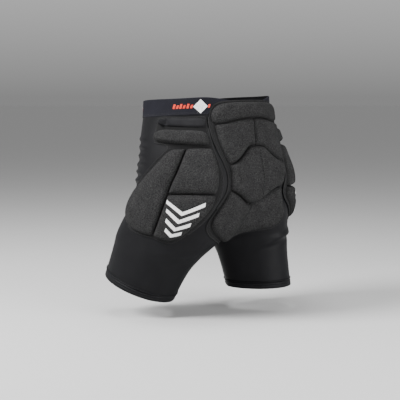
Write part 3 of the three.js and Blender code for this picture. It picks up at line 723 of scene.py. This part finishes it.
FOAM = foam_cloth()
SHELL = knit_cloth("shell_cloth", (0.0048, 0.0048, 0.0056), (0.0068, 0.0068, 0.0078), 0.52, 420, ior=1.2)
ELASTIC = knit_cloth("band_elastic", (0.0112, 0.0112, 0.0146), (0.0142, 0.0142, 0.0182), 0.75, 300)
HEM_CLOTH = knit_cloth("hem_cloth", (0.0048, 0.0048, 0.0056), (0.0068, 0.0068, 0.0078), 0.5, 420, ior=1.18)
PANEL = knit_cloth("panel_cloth", (0.0118, 0.0118, 0.012), (0.0168, 0.0168, 0.0172), 0.9, 260)
# Rolled edge cloth, lighter than the panel cloth: partly its own tone, partly a painted highlight along the
# raised edges
EDGE_CLOTH_AND_HIGHLIGHT = knit_cloth("edge_cloth_and_painted_highlight", (0.021, 0.021, 0.0214), (0.028, 0.028, 0.0285), 0.8, 300)
TAB = knit_cloth("tab_cloth", (0.0112, 0.0112, 0.0124), (0.0192, 0.0192, 0.0205), 0.7, 360)
# Inside faces of the waistband and hems: painted shade, their cloth coloured darker than the outside for the
# shade inside the bands
INSIDE_PAINTED_SHADE = knit_cloth("inside_cloth_painted_shade", (0.003, 0.003, 0.0035), (0.0055, 0.0055, 0.006), 0.9, 380)
THREAD = thread()
WHITE = transfer("white_print", (0.62, 0.62, 0.62), (0.84, 0.84, 0.84))
RED = transfer("red_print", (0.50, 0.03, 0.015), (0.66, 0.06, 0.03))


# Compression shell

# Folds: side, angle round the leg in degrees, height in mm, run, width, depth, slant (mm down per mm round)
FOLDS = [
    ("left", 120, -60, 28, 3.5, 0.85, 0.05),
    ("left", 116, -76, 28, 3.5, 1.0, -0.04),
    ("left", 120, -93, 30, 3.8, 1.05, 0.04),
    ("left", 116, -110, 30, 4.0, 1.15, 0.08),
    ("left", 122, -126, 30, 4.0, 1.15, -0.03),
    ("left", 126, -143, 30, 4.2, 1.15, 0.03),
    ("left", 148, -62, 38, 4.0, 0.9, 0.10),
    ("left", 152, -80, 46, 4.5, 1.1, 0.06),
    ("left", 146, -97, 34, 4.0, 0.8, -0.05),
    ("left", 153, -117, 50, 5.0, 1.4, 0.05),
    ("left", 150, -133, 44, 4.5, 1.3, 0.12),
    ("left", 156, -150, 52, 5.5, 1.6, 0.02),
    ("left", 160, -168, 58, 6.0, 1.8, -0.06),
    ("left", 165, -187, 50, 5.5, 1.5, -0.12),
    ("left", 172, -206, 55, 6.0, 1.5, -0.2),
    ("left", 150, -222, 40, 5.0, 0.8, -0.1),
    ("right", 168, -150, 40, 6.0, 0.7, -0.15),
    ("right", 172, -176, 46, 7.0, 0.8, -0.25),
    ("right", 30, -276, 60, 5.0, 1.2, -0.06),
    ("right", 14, -284, 50, 6.0, 1.3, -0.12),
    ("right", 52, -270, 46, 4.5, 0.9, 0.05),
    ("left", 40, -268, 40, 6.0, 0.5, 0.2),
]
FOLD_RISE = 2.4


def fold_height(side, degrees, z):
    """Height of the folds at points of one half of the shell."""
    total = np.zeros_like(z)
    for where, angle, height, run, width, depth, slant in FOLDS:
        if where != side:
            continue
        along = (degrees - angle) * PER_DEGREE
        off = z - height + slant * along
        crest = np.exp(-((off / width) ** 2)) - 0.55 * np.exp(-(((off + 1.6 * width) / width) ** 2))
        total += FOLD_RISE * depth * crest * np.exp(-((along / run) ** 4))
    return total


def crotch_height(x):
    """Height of the body's underside between the thighs, at x."""
    high, low = -float(HIP_DROP), float(SHELL_BOTTOM)
    for _ in range(40):
        middle = (high + low) / 2
        if body_field(np.array([x]), np.array([0.0]), np.array([middle]), SEAM_ROUND)[0] < 0:
            high = middle
        else:
            low = middle
    return (high + low) / 2


def shell_half(side, columns=150, torso_rows=90, leg_rows=50):
    """Half of the shell: a sheet round the side in the torso, closed round the thigh below the crotch."""
    sign = STANCE[side]["sign"]
    seam = SEAM_GAP / 2
    crotch = crotch_height(seam)
    above, below = SHELL_TOP - crotch, SHELL_BOTTOM - crotch
    levels = [(crotch + above * (1 - i / torso_rows) ** 1.5, False) for i in range(torso_rows)]
    levels += [(crotch + below * (i / leg_rows) ** 1.3, True) for i in range(leg_rows + 1)]
    rings = []
    for z, thigh in levels:
        lobe = max(float(section_at(np.array([z]))[1][0]), 2 * seam)
        if thigh:
            start, end = -math.pi / 2, 1.5 * math.pi
        else:
            rear = on_ray(seam, 0.0, z)
            front = on_ray(seam, math.pi, z)
            start = math.atan2(seam - lobe, rear[1])
            end = math.pi + math.atan2(lobe - seam, -front[1])
        count = columns if thigh else columns + 1
        ring = on_ray(lobe, mix(start, end, np.arange(count) / columns), z)
        if thigh:
            ring[0, 0] = max(ring[0, 0], seam)
        else:
            ring[0], ring[-1] = rear, front
        rings.append(ring)
    starts = np.concatenate([[0], np.cumsum([len(r) for r in rings])])
    flat = np.vstack(rings)
    degrees = np.degrees(np.arctan2(flat[:, 0] - WRAP_AXIS, flat[:, 1])) % 360
    degrees = np.where(degrees > 300, degrees - 360, degrees)
    height = flat[:, 2]
    fold = fold_height(side, degrees, height)
    fold *= smooth(SHELL_TOP, SHELL_TOP - 12, height) * smooth(SHELL_BOTTOM, SHELL_BOTTOM + 15, height)
    fold *= smooth(0.2, 8, np.where(height > crotch, flat[:, 0], 8))
    flat[:, 0] *= sign
    points = np.vstack([proud(flat, SHELL_WALL + fold), proud(flat, fold)])
    inner = len(flat)
    faces = []
    for row in range(len(rings) - 1):
        a, b = starts[row], starts[row + 1]
        na, nb = len(rings[row]), len(rings[row + 1])
        for i in range(columns):
            top, bottom = a + i, b + i
            top_next, bottom_next = a + (i + 1) % na, b + (i + 1) % nb
            faces.append([top, top_next, bottom_next, bottom])
            faces.append([inner + top_next, inner + top, inner + bottom, inner + bottom_next])
        if not levels[row][1]:
            last_a, last_b = a + columns, b + columns % nb
            faces.append([inner + a, a, b, inner + b])
            faces.append([last_a, inner + last_a, inner + last_b, last_b])
    last = starts[-2]
    for i in range(columns):
        faces.append([inner + i, inner + i + 1, i + 1, i])
        k = (i + 1) % columns
        faces.append([last + i, last + k, inner + last + k, inner + last + i])
    return make_object("shell_cloth_" + side, points, faces, SHELL)


INSIDE_ROWS = 8


def tube_ring(name, rings, heights, material):
    """Closed band from rings of surface points, outside then inside, each at its height over the body."""
    rows = len(rings)
    columns = len(rings[0])
    points = np.vstack([proud(ring, height) for ring, height in zip(rings, heights)])
    first = np.arange(columns)
    after = (first + 1) % columns
    last = (rows - 1) * columns
    closing = np.stack([last + first, last + after, after, first], 1)
    faces = np.vstack([ring_faces(rows, columns), closing])
    piece = make_object(name, points, faces, material)
    # The inside rows take the darker inside cloth: painted shade inside the band
    piece.data.materials.append(INSIDE_PAINTED_SHADE)
    for polygon in piece.data.polygons:
        row = polygon.index // columns
        polygon.material_index = int(rows - INSIDE_ROWS <= row < rows - 1)
    return piece


def band_section(top, bottom, wall, rib_pitch, rib_height, roll):
    """Heights along a band's section, outside from the top down and back up inside."""
    outside = np.linspace(top, bottom, int((top - bottom) / 0.55))
    depth = np.minimum(top - outside, outside - bottom)
    edge = np.sqrt(np.clip(1 - (1 - np.clip(depth / roll, 0, 1)) ** 2, 0, 1))
    ribs = rib_height * np.cos(2 * np.pi * (outside - bottom) / rib_pitch)
    height = wall * (0.45 + 0.55 * edge) + ribs * smooth(roll, 2 * roll, depth)
    inside = np.linspace(bottom, top, INSIDE_ROWS)
    return np.concatenate([outside, inside]), np.concatenate([height, np.zeros(INSIDE_ROWS)])


# Upper edge of the waistband: its dip behind the rear panel and its rise at the wearer's right, whose
# place and half width are radians from the centre back towards the wearer's left
BAND_DIP = 9.5
BAND_RISE = 4.2
BAND_RISE_PLACE = 4.6
BAND_RISE_REACH = 0.8
BAND_COLUMNS = 420
HEM_COLUMNS = 260


def waistband():
    levels, heights = band_section(BAND_TOP, BAND_BOTTOM, BAND_WALL, 1.7, 0.07, 1.4)
    angles = 2 * np.pi * np.arange(BAND_COLUMNS) / BAND_COLUMNS
    wave = 0.5 * np.sin(3 * angles + 0.6) + 0.35 * np.sin(7 * angles + 2)
    wave -= BAND_DIP * np.exp(-(np.sin(angles / 2 - 0.03) / 0.33) ** 4)
    wave += BAND_RISE * np.exp(-(((angles - BAND_RISE_PLACE) / BAND_RISE_REACH) ** 4))
    rings = []
    for z in levels:
        ring = on_ray(0.0, angles, z)
        ring[:, 2] += wave * smooth(BAND_BOTTOM + 8, BAND_TOP, z)
        rings.append(ring)
    return tube_ring("waistband_elastic", rings, heights, ELASTIC)


def thigh_ring(sign, z):
    """Surface points round a straight-standing thigh at one height."""
    lobe = section_at(np.array([z]))[1]
    ring = on_ray(lobe, -np.pi / 2 + 2 * np.pi * np.arange(HEM_COLUMNS) / HEM_COLUMNS, z)
    ring[:, 0] *= sign
    return ring


def hem(side):
    sign = STANCE[side]["sign"]
    levels, heights = band_section(HEM_TOP, HEM_BOTTOM, HEM_WALL, 50, 0, 1.2)
    relief = sum(
        rise * np.exp(-(((levels - HEM_TOP + down) / width) ** 2))
        for rise, down, width in ((1.1, 1.6, 1.3), (-1.0, 4.6, 1.0), (-0.6, 9.5, 0.9))
    )
    heights = heights + np.where(heights > 0, relief, 0)
    rings = [thigh_ring(sign, z) for z in levels]
    return tube_ring("hem_cloth_" + side, rings, heights, HEM_CLOTH)


# Stitching

def stitches(name, starts, ends, ups, radius):
    """Short thread runs with round ends, sunk at both ends, all in one mesh."""
    sides, rings = 6, 5
    along = ends - starts
    length = np.linalg.norm(along, axis=1, keepdims=True)
    along = along / length
    across = unit(np.cross(along, ups))
    ups = np.cross(across, along)
    points = []
    count = len(starts)
    for share in np.linspace(0, 1, rings):
        swell = 0.35 + 0.65 * math.sin(math.pi * share) ** 0.5
        lift = 0.55 * radius * math.sin(math.pi * share) - 0.35 * radius
        centre = starts + along * length * share + ups * lift
        for side in range(sides):
            turn = 2 * math.pi * side / sides
            offset = across * math.cos(turn) + ups * math.sin(turn)
            points.append(centre + offset * radius * swell)
    points = np.stack(points, 1).reshape(-1, 3)
    per = sides * rings
    pattern = ring_faces(rings, sides)
    faces = (pattern[None] + (np.arange(count) * per)[:, None, None]).reshape(-1, 4).tolist()
    caps = [list(range(sides))[::-1], list(range(per - sides, per))]
    for i in range(count):
        faces += [[i * per + k for k in cap] for cap in caps]
    mesh = bpy.data.meshes.new(name)
    mesh.from_pydata((points * MM).tolist(), [], faces)
    mesh.materials.append(THREAD)
    mesh.shade_smooth()
    finish_piece(link_object(name, mesh))


def run_of_stitches(line, up, pitch, share, sway=0.0):
    """Ends of the stitches along a posed line. sway makes a zigzag of that half width."""
    along = lengths_along(line)
    count = int(along[-1] / pitch)
    at = np.linspace(0, along[-1], count + 1)
    a, b = at[:-1], at[1:] if sway else at[:-1] + pitch * share
    start, end = at_lengths(a, along, line), at_lengths(b, along, line)
    ups = at_lengths((a + b) / 2, along, up)
    if sway:
        across = unit(np.cross(end - start, ups))
        flip = np.where(np.arange(count) % 2 == 0, 1.0, -1.0)[:, None]
        start, end = start + across * sway * flip, end - across * sway * flip
    return start, end, ups


def joined_runs(runs):
    return [np.vstack(parts) for parts in zip(*runs)]


def flat_run(lay, line, height, pitch, share, sway=0.0):
    """Stitches along a flat line laid on a panel at a height."""
    low = lay(line, height(line))
    up = lay(line, height(line) + 1.0) - low
    return run_of_stitches(low, up, pitch, share, sway)


def ring_run(ring, height, pitch, sway=0.0):
    """Stitches along a closed ring of surface points, at a height over the body."""
    ring = closed_line(ring)
    low = proud(ring, height)
    up = proud(ring, height + 1.0) - low
    return run_of_stitches(low, up, pitch, 0.74, sway)


# Pads and panels

def wobble(p, size, seed):
    """Slow uneven rise and fall of soft foam, from -1 to 1."""
    x, y = p[:, 0] / size, p[:, 1] / size
    waves = np.sin(1.3 * x + 0.7 * y + seed) + np.sin(-0.8 * x + 1.7 * y + 2.1 * seed)
    return (waves + np.sin(2.3 * x + 0.4 * y + 3.7 * seed)) / 3


def pad_profile(full, seed, crown, extra, shoulder):
    """Height of a pad's top: rounded shoulder, slight crown, uneven foam and puckers at the groove."""
    def height(p, depth):
        t = np.clip(depth / shoulder, 0, 1)
        rise = 0.1 + 0.9 * (1 - (1 - t) ** 2.1) ** 0.62
        swell = 1 - crown + crown * smooth(0, 34, depth)
        top = full * rise * swell
        top += 0.32 * wobble(p, 15, seed) * smooth(1, 10, depth)
        pucker = np.sin(p[:, 0] * 1.1 + 2 * np.sin(p[:, 1] * 0.17) + seed) * np.sin(p[:, 1] * 0.9 + seed)
        top += 0.16 * pucker * np.exp(-(((depth - 4) / 3) ** 2))
        if extra is not None:
            top += extra(p, depth)
        return top
    return height


def panel_height(p, depth):
    """Panel cloth that thins towards its rolled edge."""
    return PANEL_WALL * (0.35 + 0.65 * np.sqrt(1 - (1 - np.clip(depth / 1.3, 0, 1)) ** 2))


CREASE_DEPTH = 2.8
CREASE_WIDTH = 1.5
KNOB_RISE = 8
KNOB_FOLD = 3.4


def centre_crease(p, depth):
    """Faint crease that runs straight down although the pad is drawn sideways."""
    near = np.exp(-(((p[:, 0] + 1.1 * sideways(p[:, 1])) / CREASE_WIDTH) ** 2))
    return -CREASE_DEPTH * near * smooth(0, 6, depth) * smooth(-180, -164, p[:, 1])


def knob(p, depth):
    """The rounded front end of the hip tab and the fold behind it."""
    end = side_line("tab")[0, 0]
    ball = KNOB_RISE * np.exp(-(((p[:, 0] - end + 3) / 6) ** 2))
    fold = KNOB_FOLD * np.exp(-(((p[:, 0] - end + 16) / 3.6) ** 2))
    return ball * smooth(0, 3, depth) - fold * smooth(0, 4, depth)


def constant(value):
    return lambda p: np.full(len(p), float(value))


PADS = {}


def make_pad(
    node, lines, lay, full, seed, material=FOAM,
    extra=None, crown=0.14, shoulder=SHOULDER, spacing=FIELD_STEP,
):
    outline = inset_outline(closed_outline(lines), GROOVE / 2)
    height = pad_profile(full, seed, crown, extra, shoulder)
    piece = layer("cloth_" + node, outline, lay, constant(PAD_SEAT), height, material, spacing=spacing)
    finish_piece(piece, [node])
    PADS[node] = (outline, lay, height)


def make_panel(node, lines, lay):
    outline = closed_outline(lines, 8)
    piece = layer(
        "cloth_" + node, outline, lay, constant(PANEL_SEAT), panel_height, PANEL,
        insets=(0.4, 0.9, 1.5, 3), spacing=5,
    )
    finish_piece(piece, [node])
    return outline


def seam_stitches(name, outline, lay, straight_inset):
    """A zigzag seam along a panel's edge and a straight one inside it."""
    runs = []
    for inset, pitch, sway in ((2.0, 2.6, 0.9), (straight_inset, 3.0, 0.0)):
        line = closed_line(spaced(inset_outline(outline, inset), 2.0, closed=True))
        runs.append(flat_run(lay, line, constant(PANEL_SEAT + PANEL_WALL), pitch, 0.72, sway))
    stitches(name, *joined_runs(runs), 0.28)


def binding(name, line, lay, radius, height):
    """Thin rolled edge along a flat line: a round cord of lighter cloth, its lightness partly a painted
    highlight along the edge.
    """
    centre = lay(line, height(line))
    up = lay(line, height(line) + 1.0) - centre
    along = unit(np.gradient(centre, axis=0))
    across = unit(np.cross(along, up))
    sides = 10
    turns = 2 * np.pi * np.arange(sides) / sides
    over = np.cross(across, along)
    rows = [centre + radius * (across * math.cos(t) + over * math.sin(t)) for t in turns]
    points = np.stack(rows, 1).reshape(-1, 3)
    faces = ring_faces(len(line), sides).tolist()
    faces.append(list(range(sides))[::-1])
    faces.append(list(range(len(points) - sides, len(points))))
    finish_piece(make_object(name, points, faces, EDGE_CLOTH_AND_HIGHLIGHT, 80))


def build_rear_panel():
    outline = make_panel("back_panel_base", [back_span("edge")], lay_back)
    lumbar = [back_span("lumbar_top"), back_span("lumbar_seam")]
    make_pad("lumbar_pad", lumbar, lay_back, THICK["lumbar"], 0.4, crown=0.1)
    shield = [
        back_span("shield_top"), back_line("shield_side", -1),
        back_span("shield_bottom"), back_line("shield_side"),
    ]
    make_pad("tailbone_pad", shield, lay_back, THICK["tailbone"], 1.9, extra=centre_crease, spacing=1.4)
    for side, leg in STANCE.items():
        sign = leg["sign"]
        upper = back_lines(sign, "upper_seam", "upper_side", "shield_top", "centre_top")
        make_pad("upper_pad_" + side, upper, lay_back, THICK["upper"], 2.7 + sign)
        lower = back_lines(sign, "shield_bottom", "lower_side", "lower_bottom", "centre_bottom")
        make_pad("lower_pad_" + side, lower, lay_back, THICK["lower"], 4.1 + sign)
    seam_stitches("back_panel_stitches", outline, lay_back, 5.0)


def build_side_panel(side):
    sign = STANCE[side]["sign"]
    lay = lay_side(sign)
    flange = side_lines("edge_rear", "edge_bottom", "edge_front", "edge_neck", "edge_top")
    outline = make_panel("side_panel_base_" + side, flange, lay)
    tab, bar = side_lines("tab"), side_lines("bar")
    make_pad("hip_tab_" + side, tab, lay, THICK["tab"], 0.2, TAB, extra=knob, shoulder=5.5)
    make_pad("hip_bar_pad_" + side, bar, lay, THICK["bar"], 1.1, crown=0.12, shoulder=7)
    front = side_lines("slant_upper", "slant_lower", "front_bottom", "front_side")
    make_pad("front_thigh_pad_" + side, front, lay, THICK["front"], 2.2, crown=0.3)
    upper = side_lines("rear_top", "slant_upper", "middle", "rear_upper_side")
    make_pad("rear_thigh_pad_upper_" + side, upper, lay, THICK["rear_upper"], 3.1)
    lower = side_lines("middle", "slant_lower", "rear_bottom", "rear_lower_side")
    make_pad("rear_thigh_pad_lower_" + side, lower, lay, THICK["rear_lower"], 4.4)
    cut = np.vstack([curve(side_line("edge_front"), 1.5), curve(side_line("edge_neck")[:4], 1.5)[1:]])
    for _ in range(10):
        cut[1:-1] = (cut[:-2] + 2 * cut[1:-1] + cut[2:]) / 4
    binding("front_binding_" + side, cut, lay, 1.1, constant(SHELL_WALL + 1.5))
    rear = curve(side_line("edge_rear")[1:-2], 1.5)
    binding("rear_binding_" + side, rear, lay, 1.2, constant(SHELL_WALL + 1.2))
    reach = curve(back_line("edge", sign)[5:17], 1.5)
    reach[:, 0] += sign * 0.6
    binding("panel_binding_" + side, reach, lay_back, 1.2, constant(SHELL_WALL + 1.2))
    seam_stitches("side_panel_stitches_" + side, outline, lay, 4.2)


def build_bands():
    band = waistband()
    finish_piece(band, ["waistband"])
    for side in STANCE:
        sign = STANCE[side]["sign"]
        shell = shell_half(side)
        finish_piece(shell, ["shell_" + side])
        cuff = hem(side)
        finish_piece(cuff, ["hem_" + side])
        heights = HEM_TOP - 6.6, HEM_TOP - 11.5
        runs = [ring_run(thigh_ring(sign, z), HEM_WALL - 0.1, 3.1) for z in heights]
        stitches("hem_stitches_" + side, *joined_runs(runs), 0.3)
    runs = []
    for z, sway in ((BAND_BOTTOM + 2.4, 1.0), (BAND_BOTTOM + 5.2, 0.0)):
        ring = on_ray(0.0, 2 * np.pi * np.arange(BAND_COLUMNS) / BAND_COLUMNS, z)
        runs.append(ring_run(ring, BAND_WALL - 0.05, 2.8, sway))
    stitches("waistband_stitches", *joined_runs(runs), 0.28)


# Prints

# Chevrons: across and height of each one's lowest point and its half width, then the width and steepness
CHEVRONS = [(98, -198, 32), (99.5, -211, 27), (101, -224, 21), (102.5, -236, 14)]
CHEVRON_WIDTH = 6.2
CHEVRON_RISE = 0.55

# Waistband print: places of its units round the band, of the bars in a unit, and each bar's sizes
UNIT_PLACES = (145, 330, 515, 700)
BAR_PLACES = (18, 25, 32, 38.5, 45, 51.5, -18)
BAR_WIDTH = 4.4
BAR_SLANT = -1.1
BAR_HEIGHTS = (6.8, 8.8)
DIAMOND = np.array([(15, -1), (0, 13), (-15, -1), (0, -14.5)])


def bar_outline(centre, width, height, slant):
    """Slanted bar as a flat outline."""
    a, b = width / 2, height / 2
    return centre + np.array([(-a - slant, -b), (a - slant, -b), (a + slant, b), (-a + slant, b)])


def print_shape(outline, lay, top):
    """Thin printed film over an outline, laid on the surface below it."""
    edge = spaced(outline, 1.2, closed=True)
    x, y = edge.T
    if (x * np.roll(y, -1) - np.roll(x, -1) * y).sum() < 0:
        edge = edge[::-1]
    flat, faces = fill_outline(edge, field_points(edge, 1.6, 0.8))
    count, start = len(edge), len(flat)
    points = np.vstack([lay(flat, top(flat) + 0.22), lay(flat, top(flat) + 0.02)])
    solid = [list(f) for f in faces] + [[start + f[0], start + f[2], start + f[1]] for f in faces]
    solid += [[(i + 1) % count, i, start + i, start + (i + 1) % count] for i in range(count)]
    return points, solid


def joined_print(name, shapes, material):
    """Printed films joined in one piece."""
    points, faces, start = [], [], 0
    for shape_points, shape_faces in shapes:
        points.append(shape_points)
        faces += [[k + start for k in f] for f in shape_faces]
        start += len(shape_points)
    finish_piece(make_object(name, np.vstack(points), faces, material))


def thigh_print(side):
    """Nested chevrons of shrinking size on the lower rear hip pad."""
    outline, lay, height = PADS["rear_thigh_pad_lower_" + side]

    def top(p):
        return PAD_SEAT + height(p, np.maximum(0, depth_inside(p, outline)))

    shapes = []
    for across, low, arm in CHEVRONS:
        rise = CHEVRON_RISE * arm
        high = rise + CHEVRON_WIDTH
        chevron = np.array([(0, 0), (arm, rise), (arm, high), (0, CHEVRON_WIDTH), (-arm, high), (-arm, rise)])
        shapes.append(print_shape(chevron + (across, low), lay, top))
    joined_print("thigh_print_" + side, shapes, WHITE)


def lay_band(flat, height):
    """Flat x is millimetres round the waistband from the centre back towards the wearer's left."""
    p = on_ray(0.0, flat[:, 0] / WAIST["side"], flat[:, 1])
    return proud(p, height)


def band_print():
    """Four units of seven slanted bars, a diamond and one more bar, round the waistband."""
    reds, whites = [], []
    top = constant(BAND_WALL + 0.1)
    for centre in UNIT_PLACES:
        for k, place in enumerate(BAR_PLACES):
            tall = BAR_HEIGHTS[k % 2]
            bar = bar_outline(np.array([centre + place, tall / 2 - 4]), BAR_WIDTH, tall, BAR_SLANT)
            reds.append(print_shape(bar, lay_band, top))
        whites.append(print_shape(DIAMOND + (centre, 0), lay_band, top))
    joined_print("band_print_red", reds, RED)
    joined_print("band_print_white", whites, WHITE)


# Room, in metres

FLOOR_GAP = 0.03
FLOOR_RADIUS = 60
FLOOR_SIDES = 64
FLOOR_GREY = 0.52

# Grey of the sky by the upward part of the way out
SKY = [(0.0, 0.25), (0.12, 0.6), (0.4, 0.42)]


def build_room():
    floor_material, tree, shader = new_material("floor_paint", 0.9)
    shader.inputs["Base Color"].default_value = (FLOOR_GREY, FLOOR_GREY, FLOOR_GREY, 1)
    low = cad_box[0][2] - FLOOR_GAP
    mesh = bpy.data.meshes.new("floor")
    turns = [2 * math.pi * k / FLOOR_SIDES for k in range(FLOOR_SIDES)]
    rim = [(FLOOR_RADIUS * math.cos(t), FLOOR_RADIUS * math.sin(t), low) for t in turns]
    mesh.from_pydata(rim, [], [list(range(FLOOR_SIDES))])
    mesh.materials.append(floor_material)
    link_object("floor", mesh)
    world = bpy.data.worlds.new("studio")
    world.use_nodes = True
    background = world.node_tree.nodes["Background"]
    coordinates = add(world.node_tree, "ShaderNodeTexCoord")
    parts = add(world.node_tree, "ShaderNodeSeparateXYZ")
    world.node_tree.links.new(coordinates.outputs["Generated"], parts.inputs["Vector"])
    sky = ramp(world.node_tree, parts.outputs["Z"], [(at, (grey, grey, grey)) for at, grey in SKY])
    world.node_tree.links.new(sky, background.inputs["Color"])
    background.inputs["Strength"].default_value = 1.0
    bpy.context.scene.world = world


def area_light(name, place, target, size, power):
    data = bpy.data.lights.new(name, "AREA")
    data.shape = "SQUARE"
    data.size = size
    data.energy = power
    light = link_object(name, data)
    light.location = place
    light.rotation_euler = (target - place).to_track_quat("-Z", "Y").to_euler()


CAMERA_AZIMUTH = 51
CAMERA_ELEVATION = 4.5
CAMERA_DISTANCE = 2.5
CAMERA_TARGET = Vector((0, 0, -0.175))
METRES_PER_PIXEL = 0.00205
PHOTO_WIDTH = 400
TARGET_PIXEL = (207, 193)

# Lights: how far towards the camera, aside to its right and up from the target, size, and power in watts
LIGHTS = dict(
    key=(0.9, -1.7, 1.5, 1.0, 138),
    fill=(1.2, 1.5, 0.1, 1.5, 62),
    top=(0.2, 0, 1.9, 1.2, 34),
)


def build_camera():
    data = bpy.data.cameras.new("camera")
    data.sensor_width = 36
    data.sensor_fit = "HORIZONTAL"
    data.lens = data.sensor_width * CAMERA_DISTANCE / (METRES_PER_PIXEL * PHOTO_WIDTH)
    data.shift_x = -(TARGET_PIXEL[0] - PHOTO_WIDTH / 2) / PHOTO_WIDTH
    data.shift_y = (TARGET_PIXEL[1] - PHOTO_WIDTH / 2) / PHOTO_WIDTH
    camera = link_object("camera", data)
    turn, rise = math.radians(CAMERA_AZIMUTH), math.radians(CAMERA_ELEVATION)
    towards = Vector((math.sin(turn) * math.cos(rise), math.cos(turn) * math.cos(rise), math.sin(rise)))
    camera.location = CAMERA_TARGET + towards * CAMERA_DISTANCE
    camera.rotation_euler = (-towards).to_track_quat("-Z", "Y").to_euler()
    bpy.context.scene.camera = camera
    right = Vector((-math.cos(turn), math.sin(turn), 0))
    for name, (near, aside, up, size, power) in LIGHTS.items():
        place = CAMERA_TARGET + towards * near + right * aside + Vector((0, 0, up))
        area_light(name, place, CAMERA_TARGET, size, power)


build_camera()
build_room()
build_bands()
build_rear_panel()
for each_side in STANCE:
    build_side_panel(each_side)
for each_side in STANCE:
    thigh_print(each_side)
band_print()
